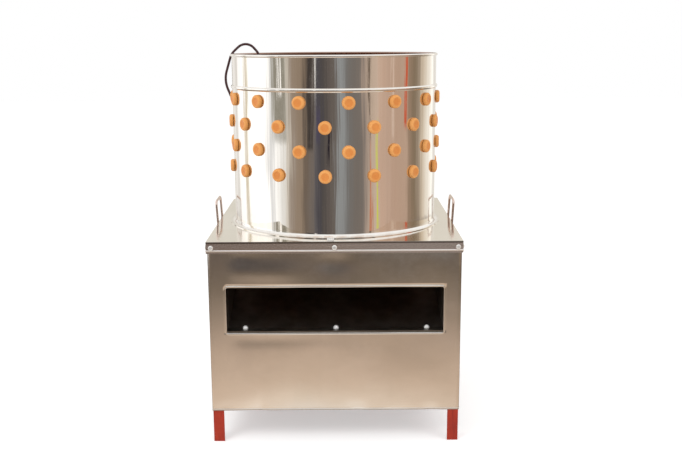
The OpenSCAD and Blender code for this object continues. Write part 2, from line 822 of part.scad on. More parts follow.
module bearing_bolts() {
    color([0.78, 0.77, 0.72]) for (z = bearer_zs) {
        for (x = [-bearer_bolt_x, bearer_bolt_x]) for (y = [-bearer_bolt_y, bearer_bolt_y])
            translate([x, y, z + bearer_t]) bolt_and_nut(bearer_t + angle_t);
        translate([0, 0, z + bearer_t + housing_flange_t]) housing_bolt_places()
            bolt_and_nut(bearer_t + housing_flange_t);
    }
}
module bearing_ring(inner, outer) {
    difference() {
        translate([0, 0, -bearing_w / 2]) cylinder(r = outer, h = bearing_w);
        translate([0, 0, -bearing_w / 2 - 1]) cylinder(r = inner, h = bearing_w + 2);
        rotate_extrude() translate([ball_ring_r, 0]) circle(ball_r + running);
    }
}
module bearing_outer_rings() {
    color([0.8, 0.81, 0.82]) for (z = bearer_zs) translate([0, 0, z + bearing_rise])
        bearing_ring(ball_ring_r + 2.3, bearing_r);
}
module bearing_inner_rings() {
    color([0.8, 0.81, 0.82]) for (z = bearer_zs) translate([0, 0, z + bearing_rise])
        bearing_ring(shaft_r + press, ball_ring_r - 2.3);
}
module bearing_balls() {
    color([0.7, 0.72, 0.74]) for (z = bearer_zs) translate([0, 0, z + bearing_rise]) {
        for (i = [0:ball_count - 1]) rotate([0, 0, i * 360 / ball_count])
            translate([ball_ring_r, 0, 0]) sphere(ball_r);
        difference() {
            translate([0, 0, -2.5]) cylinder(r = ball_ring_r + 1.2, h = 5);
            translate([0, 0, -4]) cylinder(r = ball_ring_r - 1.2, h = 8);
            for (i = [0:ball_count - 1]) rotate([0, 0, i * 360 / ball_count])
                translate([ball_ring_r, 0, 0]) sphere(ball_r + running);
        }
    }
}

// Turning group: shaft, slinger, hub, finger plate, cap and large pulley
module main_shaft() {
    foot = low_rail_z + bearing_rise - bearing_w / 2 - shaft_end;
    color([0.75, 0.76, 0.78]) {
        translate([0, 0, foot]) cylinder(r = shaft_r, h = plate_z - seat - foot);
        translate([0, 0, plate_z - 2]) cylinder(r = spigot_r, h = plate_t + spigot_h + 2);
    }
}
module water_slinger() {
    skirt_r = collar_r + slinger_gap;
    color([0.7, 0.7, 0.68]) difference() {
        union() {
            translate([0, 0, slinger_z - slinger_h]) cylinder(r = skirt_r, h = slinger_h + slinger_top);
            translate([0, 0, slinger_z]) cylinder(r = shaft_r + slinger_neck, h = slinger_rise);
        }
        translate([0, 0, slinger_z - slinger_h - 1]) cylinder(r = skirt_r - slinger_wall, h = slinger_h + 1);
        translate([0, 0, slinger_z - 1]) cylinder(r = shaft_r + press, h = slinger_rise + 14);
    }
}
module turntable_hub() {
    color([0.5, 0.52, 0.54]) difference() {
        union() {
            translate([0, 0, hub_foot]) cylinder(r = hub_boss_r, h = hub_boss_h);
            translate([0, 0, plate_z - hub_flange_t]) cylinder(r = hub_flange_r, h = hub_flange_t);
        }
        translate([0, 0, hub_foot - 1]) cylinder(r = shaft_r + press, h = hub_boss_h + 2);
        hub_bolt_holes();
    }
}
module hub_bolt_holes() {
    for (a = [45:90:315]) rotate([0, 0, a])
        translate([hub_bolt_ring, 0, plate_z - 30]) cylinder(r = bolt_hole_r, h = 60);
}
module on_rings() {
    for (k = [0:len(ring_radii) - 1]) for (i = [0:ring_counts[k] - 1])
        rotate([0, 0, (i + k / 2) * 360 / ring_counts[k]]) translate([ring_radii[k], 0, 0]) children();
}
module turntable_plate() {
    color([0.82, 0.81, 0.78]) difference() {
        translate([0, 0, plate_z]) cylinder(r = plate_r, h = plate_t);
        translate([0, 0, plate_z - 1]) cylinder(r = spigot_r + seat, h = plate_t + 2);
        hub_bolt_holes();
        on_rings() translate([0, 0, plate_z - 1]) cylinder(r = hole_r, h = plate_t + 2);
    }
}
module hub_bolts() {
    color([0.85, 0.85, 0.83]) for (a = [45:90:315]) rotate([0, 0, a])
        translate([hub_bolt_ring, 0, plate_top]) {
            pan_head(7, 3.6);
            shank_and_nut(bolt_r, plate_t + hub_flange_t, bolt_flats, nut_h);
        }
}
module plate_fingers() {
    color([0.93, 0.6, 0.28]) on_rings() translate([0, 0, plate_z]) rotate([180, 0, 0]) finger(plate_t, 0);
}
module centre_cap() {
    color([0.84, 0.83, 0.8]) translate([0, 0, plate_top]) difference() {
        rotate_extrude() polygon([
            [0, 0], [30, 0], [30, 2], [23, 2.4], [22, 12], [19, 17], [13, 20], [6, 21.3], [0, 21.5]]);
        translate([0, 0, -1]) cylinder(r = spigot_r + running, h = spigot_h + 2);
    }
}

// Pulleys and belt. The groove and the belt share one slope, a seat's width apart.
module pulley_rim(pitch_r) {
    outer = pitch_r + groove_rise;
    difference() {
        translate([0, 0, -pulley_half]) cylinder(r = outer, h = 2 * pulley_half);
        rotate_extrude() polygon([
            [outer + 1, belt_half + groove_slope],
            [outer - groove_depth, belt_half - groove_depth * groove_slope],
            [outer - groove_depth, -belt_half + groove_depth * groove_slope],
            [outer + 1, -belt_half - groove_slope]]);
    }
}
module driven_pulley() {
    boss_r = shaft_r + 14;
    boss_foot = 12;
    boss_h = 28;
    rim_in = big_pitch_r - 17;
    web_half_t = 3;
    window_r = 18;
    color([0.34, 0.36, 0.38]) translate([0, 0, belt_z]) difference() {
        union() {
            pulley_rim(big_pitch_r);
            translate([0, 0, -boss_foot]) cylinder(r = boss_r, h = boss_h);
        }
        for (z = [-pulley_half - 1, web_half_t]) translate([0, 0, z]) difference() {
            cylinder(r = rim_in, h = pulley_half - web_half_t + 1);
            translate([0, 0, -1]) cylinder(r = boss_r, h = pulley_half + 2);
        }
        for (a = [0:60:300]) rotate([0, 0, a])
            translate([(rim_in + boss_r) / 2, 0, -5]) cylinder(r = window_r, h = 10);
        translate([0, 0, -boss_foot - 1]) cylinder(r = shaft_r + press, h = boss_h + 2);
    }
}
module motor_pulley() {
    color([0.34, 0.36, 0.38]) translate([0, motor_y, belt_z]) difference() {
        union() {
            pulley_rim(small_pitch_r);
            cylinder(r = motor_shaft_r + 6, h = pulley_half + 5);
        }
        translate([0, 0, -pulley_half - 1]) cylinder(r = motor_shaft_r + press, h = 2 * pulley_half + 7);
    }
}
function belt_width(r, pitch_r) =
    belt_half + (r - pitch_r - groove_rise) * groove_slope - seat / cos(18);
module belt_section(pitch_r, trim) {
    low = pitch_r + groove_rise - groove_depth + 2.5 + trim;
    high = pitch_r + groove_rise - 0.5 - trim;
    low_w = belt_width(low, pitch_r) - trim;
    high_w = belt_width(high, pitch_r) - trim;
    polygon([[low, -low_w], [high, -high_w], [high, high_w], [low, low_w]]);
}
module drive_belt() {
    tilt = asin((big_pitch_r - small_pitch_r) / shaft_gap);
    run = shaft_gap * cos(tilt);
    color([0.12, 0.12, 0.12]) translate([0, 0, belt_z]) {
        rotate([0, 0, 180 - tilt]) rotate_extrude(angle = 180 + 2 * tilt) belt_section(big_pitch_r, 0);
        translate([0, shaft_gap, 0]) rotate([0, 0, tilt])
            rotate_extrude(angle = 180 - 2 * tilt) belt_section(small_pitch_r, 0);
        for (m = [0, 1]) mirror([m, 0, 0]) rotate([0, 0, tilt]) translate([0, run + 0.5, 0])
            rotate([90, 0, 0]) linear_extrude(run + 1) belt_section(big_pitch_r, 0.05);
    }
}

// Motor, standing on end with its shaft down and its feet against the bracket
module motor_housing() {
    fin_count = 28;
    color([0.28, 0.34, 0.42]) translate([0, motor_y, 0]) difference() {
        union() {
            translate([0, 0, motor_foot]) linear_extrude(motor_len) {
                circle(motor_r);
                for (i = [0:fin_count - 1]) rotate((i + 0.5) * 360 / fin_count)
                    translate([0, -1.25]) square([fin_r, 2.5]);
            }
            for (z = foot_hole_zs) translate([0, 0, z - foot_len / 2]) {
                translate([-foot_neck, 30, 0]) cube([2 * foot_neck, motor_axis_h - 30, foot_len]);
                translate([-foot_half, motor_axis_h - foot_t, 0]) cube([2 * foot_half, foot_t, foot_len]);
            }
            translate([motor_r - 10, -24, motor_foot + 45]) cube([fin_r - motor_r + 10 + pad, 48, 40]);
            translate([-fin_r - pad, -can_pad_w / 2, can_pad_z])
                cube([fin_r - motor_r + 10 + pad, can_pad_w, can_pad_h]);
        }
        translate([0, 0, motor_foot - 1]) cylinder(r = motor_r - motor_wall, h = motor_len + 2);
        for (x = [-foot_hole_x, foot_hole_x]) for (z = foot_hole_zs)
            translate([x, motor_axis_h - 2 * foot_t, z])
                rotate([-90, 0, 0]) cylinder(r = bolt_hole_r, h = 3 * foot_t);
    }
}
module motor_end_shields() {
    color([0.3, 0.36, 0.44]) translate([0, motor_y, 0])
        for (m = [0, 1]) translate([0, 0, m == 0 ? motor_foot : motor_top]) mirror([0, 0, m])
            difference() {
                translate([0, 0, -shield_t]) cylinder(r = fin_r - 1.5, h = shield_t);
                translate([0, 0, -shield_t + 1]) cylinder(r = motor_bearing_r + press, h = shield_t);
                translate([0, 0, -shield_t - 1]) cylinder(r = motor_shaft_r + 1.5, h = shield_t + 2);
            }
}
module motor_bearings() {
    color([0.8, 0.81, 0.82]) translate([0, motor_y, 0])
        for (z = [motor_foot - shield_t + 1, motor_top]) translate([0, 0, z]) difference() {
            cylinder(r = motor_bearing_r, h = shield_t - 1);
            translate([0, 0, -1]) cylinder(r = motor_shaft_r + running, h = shield_t + 2);
        }
}
module stator_core() {
    color([0.62, 0.4, 0.22]) translate([0, motor_y, 0]) difference() {
        union() {
            translate([0, 0, motor_foot + core_inset])
                cylinder(r = motor_r - motor_wall - press, h = motor_len - 2 * core_inset);
            translate([0, 0, motor_foot + winding_inset])
                cylinder(r = motor_r - motor_wall - 4, h = motor_len - 2 * winding_inset);
        }
        translate([0, 0, motor_foot]) cylinder(r = rotor_r + 0.5, h = motor_len);
    }
}
module rotor_core() {
    color([0.5, 0.52, 0.55]) translate([0, motor_y, motor_foot + core_inset]) difference() {
        cylinder(r = rotor_r, h = motor_len - 2 * core_inset);
        translate([0, 0, -1]) cylinder(r = rotor_shaft_r + press, h = motor_len);
    }
}
module motor_shaft() {
    foot = belt_z - pulley_half - 5;
    top = motor_top + shield_t + fan_gap + fan_h;
    color([0.75, 0.76, 0.78]) translate([0, motor_y, 0]) {
        translate([0, 0, foot]) cylinder(r = motor_shaft_r, h = top - foot);
        translate([0, 0, motor_foot + seat]) cylinder(r = rotor_shaft_r, h = motor_len - 2 * seat);
    }
}
module motor_fan() {
    blade_in = motor_shaft_r + 4;
    disc_t = 2.5;
    blade_t = 2.4;
    color([0.2, 0.2, 0.22]) translate([0, motor_y, motor_top + shield_t + fan_gap]) difference() {
        union() {
            cylinder(r = blade_in + 1, h = fan_h - 1);
            cylinder(r = fan_r, h = disc_t);
            for (a = [0:45:315]) rotate([0, 0, a])
                translate([blade_in, -blade_t / 2, 0]) cube([fan_r - blade_in, blade_t, fan_h]);
        }
        translate([0, 0, -1]) cylinder(r = motor_shaft_r + press, h = fan_h + 2);
    }
}
module fan_cowl() {
    wall = 1.2;
    inner = fin_r - 1.5 + seat;
    top = motor_top + shield_t + cowl_len;
    color([0.26, 0.32, 0.4]) translate([0, motor_y, 0]) difference() {
        translate([0, 0, motor_top]) cylinder(r = inner + wall, h = top - motor_top);
        translate([0, 0, motor_top - 1]) cylinder(r = inner, h = top - motor_top + 1 - wall);
        for (a = [0:30:330]) rotate([0, 0, a]) {
            translate([28, 0, top - 5]) cylinder(r = 4, h = 10);
            rotate([0, 0, 15]) translate([44, 0, top - 5]) cylinder(r = 5, h = 10);
        }
    }
}
module terminal_box() {
    color([0.24, 0.3, 0.38]) translate([fin_r + pad, motor_y - terminal_w / 2, terminal_foot]) {
        difference() {
            cube([terminal_d, terminal_w, terminal_h]);
            translate([terminal_t, terminal_t, terminal_t])
                cube([terminal_d - terminal_t + 1, terminal_w - 2 * terminal_t, terminal_h - 2 * terminal_t]);
        }
        translate([terminal_d, 0, 0]) cube([terminal_t, terminal_w, terminal_h]);
    }
}
module capacitor() {
    color([0.2, 0.2, 0.21]) translate([-fin_r - pad - can_r - 1, motor_y, can_foot]) {
        cylinder(r = can_r, h = can_h);
        translate([0, 0, can_pad_z - can_foot]) cylinder(r = can_r + 1, h = can_pad_h);
        translate([can_r - 6, -can_pad_w / 2, can_pad_z - can_foot]) cube([7, can_pad_w, can_pad_h]);
    }
}

// Bracket that carries the motor between the bottom rail and the motor rail
module motor_bracket() {
    color([0.62, 0.2, 0.14]) difference() {
        union() {
            translate([-web_half, web_y, low_rail_z])
                cube([2 * web_half, web_t, motor_rail_z - angle_t - low_rail_z]);
            for (z = [low_rail_z, motor_rail_z - angle_t - web_t]) translate([-web_half, web_y, z])
                cube([2 * web_half, rail_out - angle_t - seat - web_y, web_t]);
        }
        for (x = [-foot_hole_x, foot_hole_x]) for (z = foot_hole_zs)
            translate([x, web_y - 1, z]) rotate([-90, 0, 0]) cylinder(r = bolt_hole_r, h = web_t + 2);
        for (x = [-bracket_bolt_x, bracket_bolt_x]) for (z = [low_rail_z, motor_rail_z - angle_t - web_t])
            translate([x, bracket_bolt_y, z - 1]) {
                for (y = [-bracket_slot, bracket_slot]) translate([0, y, 0])
                    cylinder(r = bolt_hole_r, h = web_t + 2);
                translate([-bolt_hole_r, -bracket_slot, 0])
                    cube([2 * bolt_hole_r, 2 * bracket_slot, web_t + 2]);
            }
    }
}
module motor_bolts() {
    color([0.78, 0.77, 0.72]) {
        for (x = [-foot_hole_x, foot_hole_x]) for (z = foot_hole_zs)
            translate([x, web_y - foot_t, z]) rotate([90, 0, 0]) bolt_and_nut(foot_t + web_t);
        for (x = [-bracket_bolt_x, bracket_bolt_x]) {
            translate([x, bracket_bolt_y, low_rail_z + web_t]) bolt_and_nut(web_t + angle_t);
            translate([x, bracket_bolt_y, motor_rail_z]) bolt_and_nut(web_t + angle_t);
        }
    }
}

// Start and stop switch in the right panel
module at_button(k) {
    translate([panel_out + bezel_t, switch_y, switch_z + k * button_pitch / 2])
        rotate([0, -90, 0]) children();
}
module switch_housing() {
    color([0.2, 0.21, 0.22]) difference() {
        union() {
            translate([panel_out, switch_y - bezel_y, switch_z - bezel_z])
                cube([bezel_t, 2 * bezel_y, 2 * bezel_z]);
            translate([panel_out - box_depth, switch_y - box_half_y, switch_z - box_half_z])
                cube([box_depth + 1, 2 * box_half_y, 2 * box_half_z]);
        }
        for (k = [-1, 1]) at_button(k) {
            translate([0, 0, -1]) cylinder(r = button_r + seat, h = 20);
            translate([0, 0, 10]) cylinder(r = button_r + 2 + seat, h = 24);
        }
    }
}
module button(k) {
    at_button(k) {
        translate([0, 0, -3.8]) cylinder(r = button_r, h = 24);
        translate([0, 0, 10 + seat]) cylinder(r = button_r + 2, h = button_flange);
    }
}
module start_button() {
    color([0.1, 0.5, 0.22]) button(1);
}
module stop_button() {
    color([0.75, 0.1, 0.08]) button(-1);
}

// Cables inside the cabinet: gland to switch, and switch to motor
supply_route = [
    [gland_x, panel_in - 6, gland_z, 0], [gland_x, 243, gland_z, 26], [gland_x, 243, 357, 26],
    [175, 243, 356, 26], [205, switch_y, 345, 26], [panel_out - box_depth, switch_y, 345, 0]];
motor_lead_route = [
    [panel_out - box_depth, switch_y, 318, 0], [190, switch_y, 318, 26],
    [terminal_x, motor_y, 335, 26], [terminal_x, motor_y, terminal_foot + terminal_h, 0]];
module inner_cables() {
    color([0.1, 0.1, 0.1]) {
        tube(rounded(supply_route), 3.2, 8);
        tube(rounded(motor_lead_route), 3.2, 8);
    }
}

// Gland in the rear panel with its tapered guard
module cord_gland() {
    color([0.12, 0.12, 0.12]) translate([gland_x, 0, gland_z]) rotate([-90, 0, 0]) {
        translate([0, 0, panel_in - 6]) cylinder(r = 8, h = 14);
        translate([0, 0, panel_in - 6]) hexagon(22, 6);
        translate([0, 0, panel_out]) hexagon(22, 6);
        translate([0, 0, panel_out + 6]) rotate_extrude() polygon([
            [0, 0], [9.5, 0], [9.5, 5], [7, 8], [6.4, 12], [5, gland_tip - panel_out - 7],
            [4.2, gland_tip - panel_out - 6], [0, gland_tip - panel_out - 6]]);
    }
}

// Free stretches of the cord, its stored coil and the tie around it
module cord_tail() {
    color([0.16, 0.12, 0.11]) tube(rounded(tail_route), cord_r, 8);
}
module cord_rise() {
    color([0.16, 0.12, 0.11]) tube(rounded(rise_route), cord_r, 8);
}
module cord_coil() {
    color([0.16, 0.12, 0.11]) tube(coil_path, cord_r, 6);
}
module coil_tie() {
    low_r = coil_turn_r(coil_turns - 0.5) - cord_r - seat;
    high_r = coil_turn_r(0.5) + cord_r + seat;
    tie_h = coil_step + cord_d + 2 * seat;
    color([0.85, 0.85, 0.82]) translate([coil_x - tie_w / 2, coil_y, 0]) difference() {
        translate([0, low_r - tie_t, 0]) cube([tie_w, high_r - low_r + 2 * tie_t, tie_h + 2 * tie_t]);
        translate([-1, low_r, tie_t]) cube([tie_w + 2, high_r - low_r, tie_h]);
    }
}

// Three-pin plug hanging on the inner end of the cord
module plug() {
    pin_len = 20;
    pin_r = 3.5;
    body_z = plug_pin_z + pin_len;
    color([0.13, 0.12, 0.12]) translate([plug_x, plug_y, body_z]) rotate_extrude() polygon([
        [0, 0], [17, 0], [18.5, 2], [18.5, 12], [17, 24], [12, 34], [7.5, 38],
        [6.8, 42], [4.6, plug_top - body_z], [0, plug_top - body_z]]);
    color([0.8, 0.66, 0.35]) for (a = [0:120:240]) translate([plug_x, plug_y, plug_pin_z])
        rotate([0, 0, a + 30]) translate([10, 0, 0]) cylinder(r = pin_r, h = pin_len);
}

drum_shell();
finger_row(0);  // wall_fingers_row_1
finger_row(1);  // wall_fingers_row_2
finger_row(2);  // wall_fingers_row_3
finger_row(3);  // wall_fingers_row_4
drum_hold_downs();
deck_plate();
deck_screws();
front_panel();
rear_panel();
left_panel();
right_panel();
feather_chute();
chute_bolts();
handle_left();
handle_right();
frame_legs();
frame_top_rails();
frame_mid_rails();
frame_bottom_rails();
bearing_plates();
bearing_housings();
bearing_bolts();
bearing_outer_rings();
bearing_balls();
bearing_inner_rings();
main_shaft();
water_slinger();
turntable_hub();
turntable_plate();
hub_bolts();
plate_fingers();
centre_cap();
driven_pulley();
drive_belt();
motor_pulley();
motor_housing();
motor_end_shields();
motor_bearings();
stator_core();
rotor_core();
motor_shaft();
motor_fan();
fan_cowl();
terminal_box();
capacitor();
motor_bracket();
motor_bolts();
switch_housing();
start_button();
stop_button();
inner_cables();
cord_gland();
cord_tail();
cord_coil();
coil_tie();
cord_rise();
plug();
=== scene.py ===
import json
import math
import bmesh
import bpy
from mathutils import Matrix, Vector, noise as field


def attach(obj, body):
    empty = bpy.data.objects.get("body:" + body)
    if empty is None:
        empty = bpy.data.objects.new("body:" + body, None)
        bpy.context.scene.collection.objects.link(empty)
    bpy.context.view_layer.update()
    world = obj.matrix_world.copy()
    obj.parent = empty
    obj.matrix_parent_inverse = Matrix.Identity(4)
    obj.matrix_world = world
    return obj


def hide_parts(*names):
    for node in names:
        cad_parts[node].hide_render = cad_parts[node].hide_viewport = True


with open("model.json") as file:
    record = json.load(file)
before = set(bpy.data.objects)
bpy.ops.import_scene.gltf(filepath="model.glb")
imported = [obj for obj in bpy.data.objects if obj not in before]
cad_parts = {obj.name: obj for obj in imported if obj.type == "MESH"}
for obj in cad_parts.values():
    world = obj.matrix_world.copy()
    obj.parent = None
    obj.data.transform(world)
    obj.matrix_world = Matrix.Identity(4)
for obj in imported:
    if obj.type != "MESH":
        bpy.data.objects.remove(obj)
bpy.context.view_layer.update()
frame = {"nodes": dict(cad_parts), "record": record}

# Camera at the photograph's place, pitch, roll and field of view
camera_data = bpy.data.cameras.new("photo_camera")
camera_data.sensor_width = 36
camera_data.lens = 49.22
camera = bpy.data.objects.new("photo_camera", camera_data)
bpy.context.collection.objects.link(camera)
camera.matrix_world = (Matrix.Translation((0.0148, -2.3275, 0.9229))
                       @ Matrix.Rotation(math.radians(78.545), 4, "X")
                       @ Matrix.Rotation(math.radians(-0.3385), 4, "Z"))
bpy.context.scene.camera = camera
bpy.context.scene.view_settings.view_transform = "Standard"

# Sizes of the machine that the new pieces are built from, in metres
panel_out, panel_t, panel_foot, panel_top = 0.2863, 0.0012, 0.076, 0.4762
side_half = 0.2848
leg_x = 0.256
slot_x, slot_low, slot_high = 0.247, 0.264, 0.371
slot_hem, hem_r = 0.0046, 0.0018
deck_z, bead_drop, bead_r, fold_drop = 0.478, 0.021, 0.0018, 0.0028
chute_bolt_x, chute_bolt_y, chute_bolt_pitch, landing_z = 0.002, -0.2638, 0.209, 0.2675
drum_r, drum_wall = 0.250, 0.0015
finger_rows = [(0.305, 7.6), (0.250, -4.5), (0.195, 7.6), (0.140, -4.5)]
fingers_per_row = 14
plate_rings = [(0.205, 12, 0.0), (0.150, 9, 0.5), (0.095, 6, 1.0)]
plate_z, plate_t = 0.485, 0.003
cord_d = 0.0062
coil_x, coil_y, coil_foot = -0.190, 0.379, 0.0043
coil_r, coil_step, coil_turns, coil_parts = 0.047, 0.0068, 3, 48
plug_place = (-0.196, 0.066, 0.762)


# Mesh helpers
def piece(name, mesh, body, *nodes, slot=None):
    """A finished piece made from a bmesh, riding on a CAD body and standing for the named nodes."""
    data = bpy.data.meshes.new(name)
    mesh.to_mesh(data)
    mesh.free()
    thing = bpy.data.objects.new(name, data)
    bpy.context.collection.objects.link(thing)
    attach(thing, body)
    if nodes:
        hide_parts(*nodes)
    return thing


def turned(mesh, outline, steps):
    """Spins an outline of (radius, height) points about Z into a closed round solid."""
    verts = [mesh.verts.new((r, 0, z)) for r, z in outline]
    edges = [mesh.edges.new(pair) for pair in zip(verts, verts[1:])]
    bmesh.ops.spin(mesh, geom=verts + edges, cent=(0, 0, 0), axis=(0, 0, 1),
                   angle=2 * math.pi, steps=steps, use_merge=True)
    bmesh.ops.remove_doubles(mesh, verts=mesh.verts, dist=1e-6)
    bmesh.ops.recalc_face_normals(mesh, faces=mesh.faces)


def copies(pattern, places):
    """One mesh holding a copy of the pattern at each place."""
    data = bpy.data.meshes.new("pattern")
    pattern.to_mesh(data)
    pattern.free()
    mesh = bmesh.new()
    for place in places:
        start = len(mesh.verts)
        mesh.from_mesh(data)
        mesh.verts.ensure_lookup_table()
        bmesh.ops.transform(mesh, matrix=place, verts=mesh.verts[start:])
    bpy.data.meshes.remove(data)
    return mesh


def smooth(mesh, angle):
    """Smooth shading with sharp edges above the angle."""
    for face in mesh.faces:
        face.smooth = True
    for edge in mesh.edges:
        if len(edge.link_faces) == 2 and edge.calc_face_angle(0) > math.radians(angle):
            edge.smooth = False


def tube_along(mesh, path, radius, sides):
    """Round tube along a path of points, with closed ends."""
    across = None
    rings = []
    for i, point in enumerate(path):
        ahead = (path[min(i + 1, len(path) - 1)] - path[max(i - 1, 0)]).normalized()
        if across is None:
            across = ahead.orthogonal().normalized()
        across = (across - across.dot(ahead) * ahead).normalized()
        up = ahead.cross(across)
        rings.append([mesh.verts.new(point + radius * (math.cos(2 * math.pi * s / sides) * across
                                                       + math.sin(2 * math.pi * s / sides) * up))
                      for s in range(sides)])
    for low, high in zip(rings, rings[1:]):
        for s in range(sides):
            t = (s + 1) % sides
            mesh.faces.new((low[s], low[t], high[t], high[s]))
    mesh.faces.new(list(reversed(rings[0])))
    mesh.faces.new(rings[-1])


def swept_ring(mesh, path, section, normal):
    """Sweeps a section of (outward, forward) points along a closed flat path."""
    rings = []
    for i, point in enumerate(path):
        ahead = (path[(i + 1) % len(path)] - path[i - 1]).normalized()
        side = ahead.cross(normal)
        rings.append([mesh.verts.new(point + u * side + v * normal) for u, v in section])
    for low, high in zip(rings, rings[1:] + rings[:1]):
        for s in range(len(section)):
            t = (s + 1) % len(section)
            mesh.faces.new((low[s], low[t], high[t], high[s]))
    bmesh.ops.recalc_face_normals(mesh, faces=mesh.faces)


# Power cord: the same corner points and bends as the part's source, then finer steps
def bend(a, b, c, r):
    """Points along the arc of radius r that rounds the corner b between a and c."""
    u, v = (a - b).normalized(), (c - b).normalized()
    turn = math.pi - math.acos(max(-1, min(1, u.dot(v))))
    reach = r * math.tan(turn / 2)
    middle = b + (u + v).normalized() * r / math.cos(turn / 2)
    e, f = (b + reach * u - middle) / r, (b + reach * v - middle) / r
    parts = max(2, round(turn * r / 0.003))
    return [middle + r * (math.sin(turn * (1 - k / parts)) * e + math.sin(turn * k / parts) * f)
            / math.sin(turn) for k in range(parts + 1)]


def rounded(route):
    """The route in metres, with its corners rounded."""
    corners = [Vector(p[:3]) / 1000 for p in route]
    path = [corners[0]]
    for i in range(1, len(route) - 1):
        path += bend(corners[i - 1], corners[i], corners[i + 1], route[i][3] / 1000)
    return path + [corners[-1]]


def coil_point(u):
    """Inwards on the floor for three turns, a climb, then outwards on top."""
    r = coil_r - coil_step * min(u, 2 * coil_turns - u)
    climb = min(1, max(0, (u - coil_turns + 0.25) * 2))
    return Vector((coil_x - r * math.sin(2 * math.pi * u), coil_y - r * math.cos(2 * math.pi * u),
                   coil_foot + coil_step * climb))


def even(path, step):
    """The same path with a point at least every step, so that pieces of it stay smooth."""
    out = [path[0]]
    for a, b in zip(path, path[1:]):
        parts = max(1, round((b - a).length / step))
        out += [a.lerp(b, k / parts) for k in range(1, parts + 1)]
    return out


# Corner points in millimetres, each with the radius of its bend
tail_route = [
    (-130, 322, 135, 0), (-130, 356, 135, 26), (-132, 338, 4.3, 26), (-165, 332, 4.3, 26),
    (-183.8, 332, 4.3, 0)]
rise_route = [
    (-196.2, 332, 11.1, 0), (-238, 332, 11.1, 26), (-232, 300, 120, 60), (-216, 300, 489, 26),
    (-220, 222, 481.6, 60), (-232, 104, 485.5, 26), (-232, 104, 690, 80), (-282, 88, 820, 70),
    (-261, 80, 887, 45), (-222, 80, 922, 28), (-188, 75, 884, 26), (-196, 66, 845, 26),
    (-196, 66, 822, 0)]
coil = [coil_point(k / coil_parts) for k in range(1, 2 * coil_turns * coil_parts)]
cord_path = rounded(tail_route) + coil + rounded(rise_route)
cord_path = even(cord_path, 0.006)
cord_mesh = bmesh.new()
tube_along(cord_mesh, cord_path, cord_d / 2, 14)
smooth(cord_mesh, 60)
cord = piece("power_cord", cord_mesh, "frame", "cord_tail", "cord_coil", "cord_rise",
             slot="cord_jacket")


# Shader helpers
def add(tree, kind, **values):
    """A node with its properties and input values set. A value that is a socket is linked."""
    node = tree.nodes.new(kind)
    for key, value in values.items():
        name = key.replace("_", " ")
        if hasattr(node, key) and name not in node.inputs:
            setattr(node, key, value)
            continue
        socket = node.inputs[int(key[1:])] if key[1:].isdigit() else next(
            s for s in node.inputs if s.name.lower() == name.lower())
        if isinstance(value, bpy.types.NodeSocket):
            tree.links.new(value, socket)
        else:
            socket.default_value = value
    return node


def effect(name, inputs, outputs):
    """An empty shader node group with named inputs and outputs."""
    group = bpy.data.node_groups.new(name, "ShaderNodeTree")
    for label, kind, value in inputs:
        socket = group.interface.new_socket(name=label, in_out="INPUT", socket_type=kind)
        socket.default_value = value
    for label, kind in outputs:
        group.interface.new_socket(name=label, in_out="OUTPUT", socket_type=kind)
    return group, group.nodes.new("NodeGroupInput"), group.nodes.new("NodeGroupOutput")


FLOAT, COLOR = "NodeSocketFloat", "NodeSocketColor"


def object_space(tree, scale):
    where = add(tree, "ShaderNodeTexCoord")
    return add(tree, "ShaderNodeMapping", Vector=where.outputs["Object"], Scale=scale).outputs[0]


def noise(tree, scale, size, detail=3.0, rough=0.55):
    return add(tree, "ShaderNodeTexNoise", Vector=object_space(tree, scale), Scale=size,
               Detail=detail, Roughness=rough).outputs["Fac"]


def remap(tree, value, a, b, c, d):
    return add(tree, "ShaderNodeMapRange", Value=value, From_Min=a, From_Max=b, To_Min=c,
               To_Max=d).outputs[0]


def maths(tree, operation, *values):
    """The result of one sum on values or sockets."""
    inputs = {f"_{k}": value for k, value in enumerate(values)}
    return add(tree, "ShaderNodeMath", operation=operation, **inputs).outputs[0]


def object_axes(tree):
    """The object's own X, Y and Z at each point of the surface."""
    where = add(tree, "ShaderNodeTexCoord")
    return add(tree, "ShaderNodeSeparateXYZ", Vector=where.outputs["Object"]).outputs


def mixed(tree, amount, first, second, how="MIX"):
    node = add(tree, "ShaderNodeMix", data_type="RGBA", blend_type=how)
    for socket, value in zip((node.inputs[0], node.inputs[6], node.inputs[7]),
                             (amount, first, second)):
        if isinstance(value, bpy.types.NodeSocket):
            tree.links.new(value, socket)
        else:
            socket.default_value = value
    return node.outputs[2]


# Effect: streaks that run down polished sheet, from rolling and wiping
streaks, into, out = effect(
    "streaks", [("Width", FLOAT, 1.0), ("Fine", FLOAT, 1.0)],
    [("Broad", FLOAT), ("Hairline", FLOAT)])
broad = add(streaks, "ShaderNodeTexNoise", Vector=object_space(streaks, (1, 1, 0.03)),
            Scale=26, Detail=4, Roughness=0.6)
streaks.links.new(maths(streaks, "MULTIPLY", into.outputs[0], broad.outputs["Fac"]),
                  out.inputs[0])
fine = add(streaks, "ShaderNodeTexNoise", Vector=object_space(streaks, (1, 1, 0.012)),
           Scale=420, Detail=2, Roughness=0.5)
streaks.links.new(maths(streaks, "MULTIPLY", into.outputs[1], fine.outputs["Fac"]),
                  out.inputs[1])

# Effect: smudges and fingermarks that dull a polished surface
smudge, into, out = effect(
    "smudge", [("Amount", FLOAT, 1.0)], [("Mask", FLOAT)])
wide = noise(smudge, (1, 1, 1), 7, 5, 0.6)
spots = noise(smudge, (1, 1, 1), 60, 4, 0.7)
both = maths(smudge, "MULTIPLY", wide, spots)
mask = remap(smudge, both, 0.18, 0.36, 0.0, 1.0)
smudge.links.new(maths(smudge, "MULTIPLY", into.outputs[0], mask), out.inputs[0])

